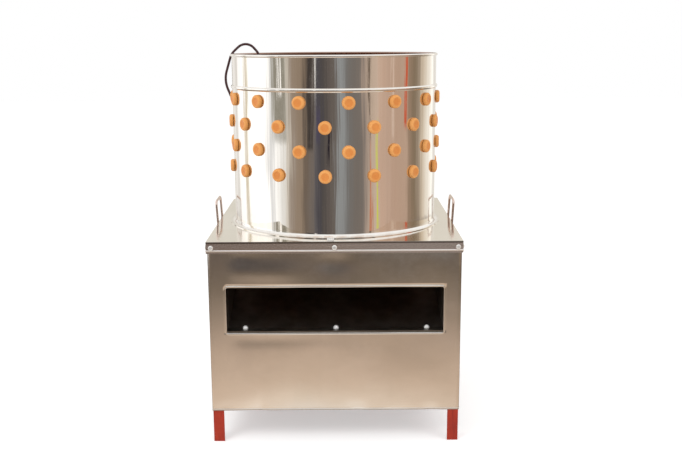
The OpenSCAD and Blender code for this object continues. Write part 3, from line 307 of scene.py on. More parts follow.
# Effect: slow waves and dents in thin sheet
sheet_waves, into, out = effect(
    "sheet_waves", [("Depth", FLOAT, 1.0)], [("Height", FLOAT)])
slow = noise(sheet_waves, (1, 1, 1), 4.5, 1.5, 0.4)
sheet_waves.links.new(maths(sheet_waves, "MULTIPLY", into.outputs[0], slow), out.inputs[0])

# Effect: fine grain for castings, paint and rubber
grain, into, out = effect(
    "grain", [("Size", FLOAT, 400.0), ("Depth", FLOAT, 1.0)], [("Height", FLOAT), ("Mask", FLOAT)])
grit = add(grain, "ShaderNodeTexNoise", Vector=object_space(grain, (1, 1, 1)),
           Scale=into.outputs[0], Detail=3, Roughness=0.6)
grain.links.new(maths(grain, "MULTIPLY", into.outputs[1], grit.outputs["Fac"]), out.inputs[0])
grain.links.new(remap(grain, noise(grain, (1, 1, 1), 18, 5, 0.65), 0.35, 0.65, 0, 1),
                out.inputs[1])


def place_group(tree, group, *values):
    """The outputs of an effect placed in a material with its own input values."""
    node = tree.nodes.new("ShaderNodeGroup")
    node.node_tree = group
    for socket, value in zip(node.inputs, values):
        socket.default_value = value
    return node.outputs


def finish(name, color, rough, metal=0.0):
    """A material with a Principled BSDF whose plain values sit on its own sockets."""
    material = bpy.data.materials.new(name)
    material.use_nodes = True
    tree = material.node_tree
    shader = tree.nodes["Principled BSDF"]
    shader.inputs["Base Color"].default_value = (*color, 1)
    shader.inputs["Roughness"].default_value = rough
    shader.inputs["Metallic"].default_value = metal
    return material, tree, shader


def bumped(tree, shader, height, distance, under=None):
    """A bump on the shader's normal, on top of another one if that is given."""
    node = add(tree, "ShaderNodeBump", Height=height, Distance=distance, Strength=1.0)
    if under:
        tree.links.new(under, node.inputs["Normal"])
    tree.links.new(node.outputs[0], shader.inputs["Normal"])
    return node.outputs[0]


def feed(tree, value, shader, socket):
    tree.links.new(value, shader.inputs[socket])


def polished_sheet(name, color, tint, rough, wave, line, streaky=1.0):
    """Polished stainless: soft streaks down the sheet, slow waves and faint smudges."""
    material, tree, shader = finish(name, color, rough, 1.0)
    lines = place_group(tree, streaks, 1.0, 1.0)
    marks = place_group(tree, smudge, 1.0)
    clouds = noise(tree, (1, 1, 1.6), 5.5, 3, 0.5)
    shade = mixed(tree, streaky, clouds, lines[0])
    feed(tree, mixed(tree, remap(tree, shade, 0.35, 0.65, 0, 1), (*tint, 1), (*color, 1)), shader,
         "Base Color")
    spread = 0.15 * streaky
    hairs = remap(tree, lines[1], 0.3, 0.7, rough * (1 - spread), rough * (1 + spread))
    feed(tree, maths(tree, "ADD", hairs, remap(tree, marks[0], 0, 1, 0, 0.06)), shader, "Roughness")
    slow = bumped(tree, shader, place_group(tree, sheet_waves, 1.0)[0], wave)
    bumped(tree, shader, lines[0], line, under=slow)
    return material


drum_steel = polished_sheet("drum_steel", (0.93, 0.90, 0.86), (0.86, 0.82, 0.77), 0.045,
                            0.007, 0.0008)
# The drum's inner face was never polished, so it is duller than the outside, and its dark brown
# colour is painted shade inside the drum
tree = drum_steel.node_tree
shader = tree.nodes["Principled BSDF"]
axes = object_axes(tree)
level = add(tree, "ShaderNodeCombineXYZ", X=axes["X"], Y=axes["Y"]).outputs[0]
away = add(tree, "ShaderNodeVectorMath", operation="LENGTH", _0=level).outputs["Value"]
inner = remap(tree, away, drum_r - 0.0012, drum_r - 0.0004, 1, 0)
# Dark brown colour of the inner face: painted shade; its higher roughness is the duller finish
for socket, dull_and_shaded in (("Base Color", (0.40, 0.27, 0.22, 1)), ("Roughness", (0.3, 0.3, 0.3, 1))):
    outer = shader.inputs[socket].links[0].from_socket
    feed(tree, mixed(tree, inner, outer, dull_and_shaded), shader, socket)

cabinet_steel = polished_sheet("cabinet_steel", (0.84, 0.79, 0.74), (0.76, 0.71, 0.65), 0.15,
                               0.0012, 0.0, 0.08)
# Each sheet's foot is folded in: its corner is rubbed rougher and painted near white as a painted
# highlight, over a painted shade along the fold's edge
tree = cabinet_steel.node_tree
shader = tree.nodes["Principled BSDF"]
height = object_axes(tree)["Z"]
above = maths(tree, "SUBTRACT", height, panel_foot)
painted_highlight = remap(tree, above, 0.0054, 0.0066, 1, 0)
dull_and_shaded = remap(tree, above, 0.0022, 0.0030, 1, 0)
# Near-white band: painted highlight; dark band under it: painted shade
for socket, bright, edge in (("Base Color", (1.0, 0.99, 0.98, 1), (0.42, 0.38, 0.36, 1)),
                             ("Roughness", (0.5, 0.5, 0.5, 1), (0.4, 0.4, 0.4, 1))):
    sheet = shader.inputs[socket].links[0].from_socket
    feed(tree, mixed(tree, dull_and_shaded, mixed(tree, painted_highlight, sheet, bright), edge), shader, socket)

deck_steel = polished_sheet("deck_steel", (0.94, 0.90, 0.84), (0.89, 0.85, 0.78), 0.08,
                            0.0012, 0.0, 0.1)
# The bead pressed into the deck's flange carries a painted highlight, the fold above it a painted
# shade, and the flange between a pinkish painted reflection of the floor
tree = deck_steel.node_tree
shader = tree.nodes["Principled BSDF"]
height = object_axes(tree)["Z"]
off_bead = maths(tree, "ABSOLUTE", maths(tree, "SUBTRACT", height, deck_z - bead_drop))
painted_highlight = remap(tree, off_bead, bead_r * 0.9, bead_r * 1.05, 1, 0)
flange = remap(tree, height, deck_z - 0.0035, deck_z - 0.0015, 1, 0)
off_fold = maths(tree, "ABSOLUTE", maths(tree, "SUBTRACT", height, deck_z - fold_drop))
folded = remap(tree, off_fold, 0.0010, 0.0022, 1, 0)
# Flange: pinkish painted reflection; fold: painted shade; bead: painted highlight
for socket, plain, fold, bright in (
        ("Base Color", (0.97, 0.89, 0.86, 1), (0.34, 0.29, 0.27, 1), (1.0, 0.98, 0.97, 1)),
        ("Roughness", (0.27, 0.27, 0.27, 1), (0.27, 0.27, 0.27, 1), (0.3, 0.3, 0.3, 1))):
    top = shader.inputs[socket].links[0].from_socket
    side = mixed(tree, folded, mixed(tree, flange, top, plain), fold)
    feed(tree, mixed(tree, painted_highlight, side, bright), shader, socket)

# The hem's steel is the cabinet's sheet painted lighter: painted highlight along the rolled edge
hem_highlight_steel = polished_sheet("hem_highlight_steel", (0.95, 0.92, 0.88), (0.90, 0.87, 0.82), 0.12,
                           0.0012, 0.0, 0.1)
# The chute's stainless is painted dark: painted shade inside the cabinet
chute_steel = polished_sheet("chute_steel", (0.30, 0.28, 0.25), (0.22, 0.20, 0.18), 0.38,
                             0.001, 0.0002)

red_oxide, tree, shader = finish("red_oxide", (0.42, 0.035, 0.015), 0.5)
shader.inputs["Specular IOR Level"].default_value = 0.3
grains = place_group(tree, grain, 700.0, 1.0)
runs = noise(tree, (1, 1, 0.12), 90, 3, 0.6)
paint = mixed(tree, grains[1], (0.36, 0.026, 0.012, 1), (0.50, 0.045, 0.018, 1))
feed(tree, mixed(tree, remap(tree, runs, 0.5, 0.72, 0, 1), paint, (0.24, 0.02, 0.012, 1)), shader,
     "Base Color")
feed(tree, remap(tree, grains[1], 0, 1, 0.38, 0.6), shader, "Roughness")
bumped(tree, shader, grains[0], 0.00012)

finger_rubber, tree, shader = finish("finger_rubber", (0.85, 0.31, 0.05), 0.5)
grains = place_group(tree, grain, 900.0, 1.0)
# Paler rubber on the rim: painted highlight of the dished head
rim = add(tree, "ShaderNodeAttribute", attribute_name="rim").outputs["Fac"]
rubber = mixed(tree, grains[1], (0.76, 0.25, 0.045, 1), (0.84, 0.30, 0.06, 1))
rim_highlight_rubber = mixed(tree, grains[1], (0.86, 0.36, 0.085, 1), (0.93, 0.42, 0.12, 1))
feed(tree, mixed(tree, rim, rubber, rim_highlight_rubber), shader, "Base Color")
feed(tree, remap(tree, grains[1], 0, 1, 0.42, 0.6), shader, "Roughness")
bumped(tree, shader, grains[0], 0.00008)


def handled_metal(name, color, rough, metal, shine):
    """Plain metal whose roughness runs between the two shine values with its smudges."""
    material, tree, shader = finish(name, color, rough, metal)
    marks = place_group(tree, smudge, 1.0)
    feed(tree, remap(tree, marks[0], 0, 1, *shine), shader, "Roughness")
    return material


fasteners = handled_metal("fasteners", (0.97, 0.96, 0.94), 0.3, 0.55, (0.24, 0.42))
# Near-white bolt finish: painted highlight, so the domed heads show as bright dots
highlight_bolt_finish = handled_metal("highlight_bolt_finish", (1.0, 1.0, 0.99), 0.28, 0.3, (0.22, 0.4))
brass = handled_metal("brass", (0.80, 0.60, 0.28), 0.25, 1.0, (0.2, 0.4))

zinc, tree, shader = finish("zinc", (0.72, 0.70, 0.62), 0.32, 1.0)
grains = place_group(tree, grain, 500.0, 1.0)
feed(tree, mixed(tree, grains[1], (0.62, 0.62, 0.58, 1), (0.78, 0.74, 0.60, 1)), shader,
     "Base Color")

ground_steel = handled_metal("ground_steel", (0.62, 0.63, 0.65), 0.2, 1.0, (0.15, 0.35))

machined, tree, shader = finish("machined", (0.60, 0.61, 0.63), 0.34, 1.0)
grains = place_group(tree, grain, 350.0, 1.0)
feed(tree, mixed(tree, grains[1], (0.52, 0.53, 0.55, 1), (0.66, 0.67, 0.69, 1)), shader,
     "Base Color")
bumped(tree, shader, grains[0], 0.0001)


def painted_casting(name, color, rough):
    material, tree, shader = finish(name, color, rough)
    grains = place_group(tree, grain, 450.0, 1.0)
    dark = tuple(0.75 * c for c in color)
    feed(tree, mixed(tree, grains[1], (*dark, 1), (*color, 1)), shader, "Base Color")
    feed(tree, remap(tree, grains[1], 0, 1, rough * 0.85, rough * 1.15), shader, "Roughness")
    bumped(tree, shader, grains[0], 0.0003)
    return material


cast_paint = painted_casting("cast_paint", (0.07, 0.10, 0.13), 0.42)
pulley_iron = painted_casting("pulley_iron", (0.12, 0.125, 0.13), 0.5)
belt_rubber = painted_casting("belt_rubber", (0.018, 0.018, 0.018), 0.75)
black_plastic = painted_casting("black_plastic", (0.022, 0.022, 0.024), 0.45)
fan_plastic = painted_casting("fan_plastic", (0.035, 0.035, 0.04), 0.5)
winding = painted_casting("winding", (0.33, 0.12, 0.03), 0.3)
core_steel = painted_casting("core_steel", (0.25, 0.26, 0.28), 0.4)
start_green = painted_casting("start_green", (0.02, 0.25, 0.05), 0.25)
stop_red = painted_casting("stop_red", (0.50, 0.01, 0.01), 0.25)
cord_jacket = painted_casting("cord_jacket", (0.075, 0.026, 0.028), 0.5)
tie_plastic = painted_casting("tie_plastic", (0.75, 0.75, 0.72), 0.3)

rod_steel = handled_metal("rod_steel", (0.80, 0.66, 0.60), 0.2, 1.0, (0.15, 0.35))

finishes = {
    "drum_steel": drum_steel, "cabinet_steel": cabinet_steel, "deck_steel": deck_steel,
    "chute_steel": chute_steel, "finger_rubber": finger_rubber, "fasteners": fasteners,
    "zinc": zinc, "red_oxide": red_oxide, "ground_steel": ground_steel, "machined": machined,
    "cast_paint": cast_paint, "pulley_iron": pulley_iron, "belt_rubber": belt_rubber,
    "winding": winding, "core_steel": core_steel, "black_plastic": black_plastic,
    "fan_plastic": fan_plastic, "start_green": start_green, "stop_red": stop_red,
    "cord_jacket": cord_jacket, "tie_plastic": tie_plastic}


def dress(thing, material):
    thing.data.materials.clear()
    thing.data.materials.append(material)


for part in frame["record"]["subparts"]:
    dress(frame["nodes"][part["node"]], finishes[part["material_slot"]])
dress(cord, cord_jacket)
for side in ("handle_left", "handle_right"):
    dress(frame["nodes"][side], rod_steel)


# Rubber fingers: head with a rounded shoulder and a shallow dish, neck, ribbed tapering body
def finger_mesh(sheet, bow):
    """A finger along +Z whose head stands on the sheet's face at Z = 0."""
    mm = 0.001
    ribs, ribbed, body_r, taper, length = 8, 71, 11.5, 4, 80
    collar = -(sheet + 0.3 * mm + bow)
    outline = [(0, 8.7 * mm), (5.5 * mm, 8.75 * mm), (7.4 * mm, 8.9 * mm), (8.6 * mm, 9.15 * mm)]
    for k in range(7):
        a = math.radians(15 * k)
        outline.append(((9.8 + 5.5 * math.sin(a)) * mm, (3.8 + 5.5 * math.cos(a)) * mm))
    outline += [(15.3 * mm, 1.1 * mm), (14.9 * mm, 0.4 * mm), (14.2 * mm, 0.3 * mm),
                (9.7 * mm, 0.3 * mm), (9.7 * mm, collar), (11.9 * mm, collar),
                (12.5 * mm, collar - 0.6 * mm), (12.3 * mm, collar - 4.6 * mm)]
    pitch = ribbed / ribs
    for i in range(ribs):
        big = body_r - taper * i / ribs
        top = collar - (5 + i * pitch) * mm
        outline += [((big - 0.2) * mm, top - 0.4 * mm),
                    ((big - 1.1) * mm, top - 0.28 * pitch * mm),
                    ((big - 1.15) * mm, top - 0.42 * pitch * mm),
                    ((big - 0.35) * mm, top - 0.6 * pitch * mm),
                    ((big - 0.4) * mm, top - 0.9 * pitch * mm)]
    foot = collar - length * mm
    for k in range(1, 7):
        a = math.radians(15 * k)
        outline.append(((3.9 + 3.3 * math.cos(a)) * mm, foot + (3.6 - 3.6 * math.sin(a)) * mm))
    outline.append((0, foot))
    mesh = bmesh.new()
    turned(mesh, outline, 28)
    smooth(mesh, 50)
    # The head's rim is painted paler than its centre, a painted highlight of the dished face
    rim = mesh.verts.layers.float.new("rim")
    for vert in mesh.verts:
        away = math.hypot(vert.co.x, vert.co.y)
        vert[rim] = min(1, max(0, (away - 8.2 * mm) / (2.4 * mm))) if vert.co.z > 0 else 0.35
    return mesh


for row, (height, start) in enumerate(finger_rows):
    places = [Matrix.Rotation(math.radians(start + i * 360 / fingers_per_row), 4, "Z")
              @ Matrix.Translation((0, -drum_r, deck_z + height))
              @ Matrix.Rotation(math.radians(90), 4, "X") for i in range(fingers_per_row)]
    fingers = piece(f"wall_fingers_{row + 1}", copies(finger_mesh(drum_wall, 0.000314), places),
                    "frame", f"wall_fingers_row_{row + 1}", slot="finger_rubber")
    dress(fingers, finger_rubber)
places = [Matrix.Rotation((i + shift) * 2 * math.pi / count, 4, "Z")
          @ Matrix.Translation((radius, 0, plate_z)) @ Matrix.Rotation(math.pi, 4, "X")
          for radius, count, shift in plate_rings for i in range(count)]
fingers = piece("turntable_fingers", copies(finger_mesh(plate_t, 0), places), "turntable",
                "plate_fingers", slot="finger_rubber")
dress(fingers, finger_rubber)


# Plug on the cord's inner end: moulded body with grip rings, a ribbed guard and brass pins
def at_plug(mesh):
    bmesh.ops.translate(mesh, verts=mesh.verts, vec=plug_place)


plug_outline = [(0, 0), (16.4, 0), (17.6, 0.5), (18.3, 1.6), (18.5, 3.0), (18.5, 10.5), (18.3, 12)]
for k in range(5):
    z = 13 + 2.2 * k
    r = 18.3 - 0.45 * k
    plug_outline += [(r, z), (r - 0.8, z + 0.4), (r - 0.8, z + 1.3), (r - 0.2, z + 1.7)]
plug_outline += [(15.0, 27), (12.6, 32.5), (9.6, 36.5), (7.6, 38.5), (6.9, 40)]
for k in range(5):
    z = 41.5 + 3.6 * k
    r = 6.7 - 0.4 * k
    plug_outline += [(r, z), (r - 0.9, z + 0.5), (r - 0.9, z + 1.5), (r - 0.1, z + 2.0)]
plug_outline += [(4.6, 59.6), (4.2, 60), (0, 60)]
mesh = bmesh.new()
turned(mesh, [(r / 1000, z / 1000) for r, z in plug_outline], 40)
smooth(mesh, 40)
at_plug(mesh)
plug_body = piece("plug_body", mesh, "frame", slot="black_plastic")
dress(plug_body, black_plastic)
pin = bmesh.new()
turned(pin, [(0, -0.020), (0.0024, -0.020), (0.0032, -0.0195), (0.0035, -0.0185), (0.0035, -0.0002),
             (0.0043, -0.0001), (0.0043, 0.0), (0, 0.0)], 20)
smooth(pin, 40)
mesh = copies(pin, [Matrix.Rotation(math.radians(30 + 120 * k), 4, "Z")
                    @ Matrix.Translation((0.010, 0, 0)) for k in range(3)])
at_plug(mesh)
plug_pins = piece("plug_pins", mesh, "frame", slot="zinc")
dress(plug_pins, brass)
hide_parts("plug")
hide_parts("plug")


# Cabinet panels: thin sheet with slow waves, a rounded fold at the foot and square holes
def wave(x, z, seed):
    """How far the sheet stands off its plane, in metres."""
    slow, quick = 0.0016, 0.0004
    return (slow * field.noise(Vector((5 * x, 6 * z, seed)))
            + quick * field.noise(Vector((13 * x, 15 * z, seed + 7))))


def panel(name, node, reach, turn, seed, holes=(), dents=()):
    """A sheet that faces -Y, turned about Z to its side of the cabinet.

    Holes are (x, x, z, z). Dents are (x, z, half width, half height, depth), positive inwards.
    """
    step, fold_r, fold, fold_half, fine_step = 0.008, 0.0013, 0.014, 0.2595, 0.0014
    most_in, most_out, edge_calm, top_calm, leg_calm = 0.0024, 0.0020, 0.02, 0.012, 0.045
    ridge_z, ridge_tall, ridge_out = 0.0022, 0.0024, 0.0004
    mesh = bmesh.new()
    bmesh.ops.create_grid(mesh, x_segments=round(2 * reach / step), size=1,
                          y_segments=round((panel_top - panel_foot) / step))
    bmesh.ops.transform(mesh, verts=mesh.verts, matrix=Matrix((
        (reach, 0, 0, 0), (0, 0, -1, 0),
        (0, (panel_top - panel_foot - fold_r) / 2, 0, (panel_top + panel_foot + fold_r) / 2),
        (0, 0, 0, 1))))
    for x0, x1, z0, z1 in holes:
        for at, across in (((x0, 0, 0), (1, 0, 0)), ((x1, 0, 0), (1, 0, 0)),
                           ((0, 0, z0), (0, 0, 1)), ((0, 0, z1), (0, 0, 1))):
            bmesh.ops.bisect_plane(mesh, geom=mesh.verts[:] + mesh.edges[:] + mesh.faces[:],
                                   plane_co=at, plane_no=across, dist=0.0005)
        inside = [f for f in mesh.faces
                  if x0 < f.calc_center_median().x < x1 and z0 < f.calc_center_median().z < z1]
        bmesh.ops.delete(mesh, geom=inside, context="FACES")
    for k in range(1, 8):
        bmesh.ops.bisect_plane(mesh, geom=mesh.verts[:] + mesh.edges[:] + mesh.faces[:],
                               plane_co=(0, 0, panel_foot + fold_r + fine_step * k),
                               plane_no=(0, 0, 1), dist=0.0001)
    low = min(v.co.z for v in mesh.verts)
    foot = [e for e in mesh.edges if all(v.co.z < low + 1e-5 for v in e.verts)]
    turned_in = bmesh.ops.spin(mesh, geom=foot + list({v for e in foot for v in e.verts}),
                               cent=(0, fold_r, low), axis=(1, 0, 0),
                               angle=math.radians(90), steps=4)
    last = [e for e in turned_in["geom_last"] if isinstance(e, bmesh.types.BMEdge)
            and all(abs(v.co.x) < fold_half for v in e.verts)]
    lip = bmesh.ops.extrude_edge_only(mesh, edges=last)["geom"]
    bmesh.ops.translate(mesh, vec=(0, fold - fold_r, 0),
                        verts=[v for v in lip if isinstance(v, bmesh.types.BMVert)])
    for vert in mesh.verts:
        off = wave(vert.co.x, vert.co.z, seed)
        for x, z, wide, tall, deep in dents:
            off += deep * math.exp(-((vert.co.x - x) / wide) ** 2 - ((vert.co.z - z) / tall) ** 2)
        off *= max(0, min(1, (reach - abs(vert.co.x)) / edge_calm,
                          (panel_top - vert.co.z) / top_calm))
        # The legs stand close behind the sheet's ends and the rails behind the rest
        clear = min(1, max(0, (leg_x - abs(vert.co.x)) / leg_calm))
        clear *= clear * (3 - 2 * clear)
        ridge = math.exp(-((vert.co.z - panel_foot - ridge_z) / ridge_tall) ** 2)
        if off > 0:
            off *= clear / (1 + (off / most_in) ** 6) ** (1 / 6)
        vert.co.y += max(-most_out, off) - ridge_out * ridge - panel_out
    bmesh.ops.recalc_face_normals(mesh, faces=mesh.faces)
    out = [f for f in mesh.faces if abs(f.normal.y) > 0.9][0]
    if out.normal.y > 0:
        bmesh.ops.reverse_faces(mesh, faces=mesh.faces)
    bmesh.ops.rotate(mesh, verts=mesh.verts, cent=(0, 0, 0),
                     matrix=Matrix.Rotation(math.radians(turn), 3, "Z"))
    for face in mesh.faces:
        face.smooth = True
    thing = piece(name, mesh, "frame", node, slot="cabinet_steel")
    dress(thing, cabinet_steel)
    wall = thing.modifiers.new("wall", "SOLIDIFY")
    wall.thickness = panel_t
    wall.offset = -1
    wall.use_even_offset = True


panel("front_sheet", "front_panel", panel_out, 0, 1.0,
      holes=[(-slot_x - 0.001, slot_x + 0.001, slot_low - 0.001, slot_high + 0.001)],
      dents=[(-0.172, 0.078, 0.004, 0.030, 0.0016), (-0.188, 0.074, 0.026, 0.019, 0.0030),
             (0.050, 0.074, 0.017, 0.013, 0.0026), (0.222, 0.074, 0.016, 0.014, 0.0030),
             (-0.240, 0.074, 0.030, 0.018, 0.0018), (0.140, 0.074, 0.030, 0.010, 0.0008),
             (0.0, 0.430, 0.034, 0.018, 0.0016), (-0.160, 0.405, 0.080, 0.022, -0.0016),
             (-0.235, 0.446, 0.040, 0.020, 0.0014), (-0.190, 0.458, 0.090, 0.010, -0.0010),
             (-0.150, 0.250, 0.120, 0.018, 0.0012), (0.200, 0.375, 0.050, 0.060, 0.0007)])
vents = [(x - 0.045, x + 0.045, 0.340 + 0.012 * k, 0.345 + 0.012 * k)
         for x in (-0.075, 0.075) for k in range(6)]
panel("rear_sheet", "rear_panel", panel_out, 180, 2.0, holes=vents + [(0.123, 0.137, 0.128, 0.142)])
panel("left_sheet", "left_panel", side_half, -90, 3.0)
panel("right_sheet", "right_panel", side_half, 90, 4.0, holes=[(0.1777, 0.2223, 0.2977, 0.3723)])


# Rolled hem around the feather outlet, a little uneven as hand-rolled edges are
def slot_path():
    """The outlet's outline with rounded corners, a little off its plane and its lines."""
    corner, off_plane, off_line, path = 0.004, 0.0004, 0.0006, []
    for cx, cz, start in ((slot_x, slot_high, 0), (-slot_x, slot_high, 90),
                          (-slot_x, slot_low, 180), (slot_x, slot_low, 270)):
        inward = Vector((-math.copysign(corner, cx), 0, corner if cz == slot_low else -corner))
        middle = Vector((cx, 0, cz)) + inward
        for k in range(7):
            a = math.radians(start + 15 * k)
            path.append(middle + Vector((corner * math.cos(a), 0, corner * math.sin(a))))
    path = even(path + path[:1], 0.01)[:-1]
    for point in path:
        uneven = field.noise(Vector((9 * point.x, 0, 9 * point.z)))
        point.y = -panel_out + panel_t / 2 + off_plane * uneven
        point.z += off_line * field.noise(Vector((11 * point.x, 5, 3 * point.z)))
    return path


section = []
for k in range(18):
    a = math.radians(10 + 20 * k)
    side = math.copysign(1, math.cos(a))
    section.append((slot_hem / 2 + (slot_hem / 2 - hem_r) * side + hem_r * math.cos(a),
                    hem_r * math.sin(a)))
mesh = bmesh.new()
swept_ring(mesh, slot_path(), section, Vector((0, -1, 0)))
for face in mesh.faces:
    face.smooth = True
hem = piece("slot_hem", mesh, "frame", slot="cabinet_steel")
dress(hem, hem_highlight_steel)
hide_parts("front_panel")


def soften(node, width):
    """Welds a CAD node's loose triangles and rounds its sharp edges a little."""
    thing = frame["nodes"][node]
    weld = thing.modifiers.new("weld", "WELD")
    weld.merge_threshold = 0.00002
    bevel = thing.modifiers.new("round_edges", "BEVEL")
    bevel.width = width
    bevel.segments = 2
    bevel.limit_method = "ANGLE"
    bevel.angle_limit = math.radians(40)
    bevel.harden_normals = True


for node, width in (("deck_plate", 0.0014), ("frame_legs", 0.0007), ("feather_chute", 0.0004),
                    ("switch_housing", 0.0008), ("terminal_box", 0.0008), ("motor_bracket", 0.0006),
                    ("start_button", 0.0006), ("stop_button", 0.0006)):
    soften(node, width)


# Bolts on the chute's lip: a domed head over each of the solids' flat ones
dome = bmesh.new()
dome_r, dome_h, dome_foot, rim_h = 0.0062, 0.0075, 0.0001, 0.0012
outline = [(0, dome_foot), (dome_r, dome_foot), (dome_r, rim_h)]
for a in range(10, 90, 10):
    outline.append((dome_r * math.cos(math.radians(a)),
                    rim_h + (dome_h - rim_h) * math.sin(math.radians(a))))
turned(dome, outline + [(0, dome_h)], 24)
smooth(dome, 50)
mesh = copies(dome, [Matrix.Translation((chute_bolt_x + k * chute_bolt_pitch, chute_bolt_y,
                                         landing_z)) for k in (-1, 0, 1)])
# The domes wear the near-white finish, a painted highlight
dress(piece("chute_bolt_domes", mesh, "frame", slot="fasteners"), highlight_bolt_finish)


# Stage: pale floor, soft light, and a workshop around it that only polished metal sees
world = bpy.data.worlds.new("plain_room")
bpy.context.scene.world = world
world.use_nodes = True
sky = world.node_tree
ray = add(sky, "ShaderNodeLightPath")
seen = maths(sky, "MAXIMUM", ray.outputs["Is Camera Ray"], ray.outputs["Is Glossy Ray"])
sky.nodes["Background"].inputs["Color"].default_value = (1, 1, 1, 1)
sky.links.new(remap(sky, seen, 0, 1, 0.70, 1.0), sky.nodes["Background"].inputs["Strength"])


def stage_piece(name, mesh, material):
    data = bpy.data.meshes.new(name)
    mesh.to_mesh(data)
    mesh.free()
    thing = bpy.data.objects.new(name, data)
    bpy.context.collection.objects.link(thing)
    dress(thing, material)
    return thing


def only_reflected(thing):
    """Hides a piece from everything but reflections."""
    thing.visible_camera = False
    thing.visible_diffuse = False
    thing.visible_shadow = False
    thing.visible_transmission = False


floor_finish, tree, shader = finish("floor_white", (0.90, 0.90, 0.90), 0.9)
shader.inputs["Specular IOR Level"].default_value = 0.1
shader.inputs["Emission Color"].default_value = (1, 1, 1, 1)
ray = add(tree, "ShaderNodeLightPath")
seen = maths(tree, "MAXIMUM", ray.outputs["Is Camera Ray"], ray.outputs["Is Glossy Ray"])
feed(tree, remap(tree, seen, 0, 1, 0.0, 0.42), shader, "Emission Strength")
mesh = bmesh.new()
bmesh.ops.create_grid(mesh, x_segments=1, y_segments=1, size=12)
stage_piece("floor", mesh, floor_finish)


def lamp(name, place, target, size, power):
    """A round area lamp that lights the object but isn't reflected in it."""
    data = bpy.data.lights.new(name, "AREA")
    data.shape = "DISK"
    data.size = size
    data.energy = power
    thing = bpy.data.objects.new(name, data)
    bpy.context.collection.objects.link(thing)
    aim = (Vector(target) - Vector(place)).to_track_quat("-Z", "Y").to_matrix().to_4x4()
    thing.matrix_world = Matrix.Translation(place) @ aim
    thing.visible_glossy = False


lamp("key", (-2.2, -2.6, 3.2), (0, 0, 0.5), 2.0, 45)
lamp("fill", (2.6, -1.8, 2.4), (0, 0, 0.5), 2.0, 18)


# The room's size, and how far its windows outshine a plain white band
room_r, room_h = 3.4, 2.0
window_glow = 1.3


def glow(name):
    """A material that only shines, at the strength of the room's windows."""
    material, tree, shader = finish(name, (0, 0, 0), 1.0)
    shader.inputs["Specular IOR Level"].default_value = 0.0
    shader.inputs["Emission Strength"].default_value = window_glow
    return material, tree, shader


def bands(tree, value, stops):
    """A colour ramp with a stop for each (position, colour)."""
    node = add(tree, "ShaderNodeValToRGB", Fac=value)
    ramp = node.color_ramp
    while len(ramp.elements) < len(stops):
        ramp.elements.new(0.5)
    for element, (position, color) in zip(ramp.elements, stops):
        element.position = position
        element.color = (*color, 1)
    return node.outputs[0]


# Workshop wall all round the machine: bands of colour by bearing, where 0 is straight ahead of
# the front, and the floor in front of it, which takes on the same bands further out
wall_stops = [
    (-180, (0.62, 0.58, 0.50)), (-170, (0.72, 0.69, 0.62)), (-158, (0.84, 0.81, 0.75)),
    (-146, (0.90, 0.88, 0.85)), (-138, (0.74, 0.71, 0.66)), (-132, (0.94, 0.93, 0.92)),
    (-116, (1.0, 1.0, 1.0)), (-111, (0.70, 0.60, 0.42)), (-107, (1.0, 1.0, 0.98)),
    (-76, (1.0, 1.0, 1.0)), (-72, (0.80, 0.81, 0.82)), (-66, (0.95, 0.95, 0.94)),
    (-57, (0.86, 0.85, 0.82)), (-51, (0.66, 0.60, 0.52)), (-47, (0.36, 0.30, 0.25)),
    (-43, (0.32, 0.25, 0.19)), (-36, (0.30, 0.23, 0.17)), (-31, (0.17, 0.13, 0.10)),
    (-25, (0.19, 0.16, 0.14)), (-20, (0.13, 0.12, 0.125)), (-16, (0.075, 0.07, 0.08)),
    (-11, (0.09, 0.08, 0.075)), (-4, (0.13, 0.11, 0.10)), (2, (0.15, 0.13, 0.12)),
    (5, (0.30, 0.315, 0.32)), (11, (0.28, 0.29, 0.295)), (14, (0.19, 0.185, 0.18)),
    (22, (0.19, 0.17, 0.155)), (28, (0.21, 0.18, 0.16)), (33, (0.42, 0.33, 0.27)),
    (40, (0.56, 0.44, 0.35)), (46, (0.60, 0.46, 0.37)), (52, (0.60, 0.42, 0.32)),
    (58, (0.56, 0.40, 0.31)), (66, (0.52, 0.36, 0.27)), (84, (0.52, 0.37, 0.28)),
    (88, (0.34, 0.24, 0.17)), (98, (0.24, 0.18, 0.12)), (106, (0.36, 0.29, 0.22)),
    (113, (0.66, 0.56, 0.44)), (126, (0.90, 0.84, 0.74)), (140, (0.97, 0.95, 0.90)),
    (150, (0.78, 0.75, 0.70)), (158, (0.87, 0.84, 0.79)), (170, (0.74, 0.70, 0.62)),
    (180, (0.62, 0.58, 0.50))]
ahead = (0.145, 0.125, 0.11)
# A colour ramp takes 32 stops, so the bands come in two halves that meet straight ahead
left_stops = [((d + 180) / 180, c) for d, c in wall_stops if d < 0] + [(1.0, ahead)]
right_stops = [(0.0, ahead)] + [(d / 180, c) for d, c in wall_stops if d > 0]

room, _, out = effect("room_bands", [], [("Color", COLOR)])
axes = object_axes(room)
back = maths(room, "MULTIPLY", axes["Y"], -1.0)
bearing = maths(room, "ARCTAN2", axes["X"], back)
left_half = bands(room, remap(room, bearing, -math.pi, 0, 0, 1), left_stops)
right_half = bands(room, remap(room, bearing, 0, math.pi, 0, 1), right_stops)
side = maths(room, "GREATER_THAN", bearing, 0.0)
room_color = mixed(room, side, left_half, right_half)


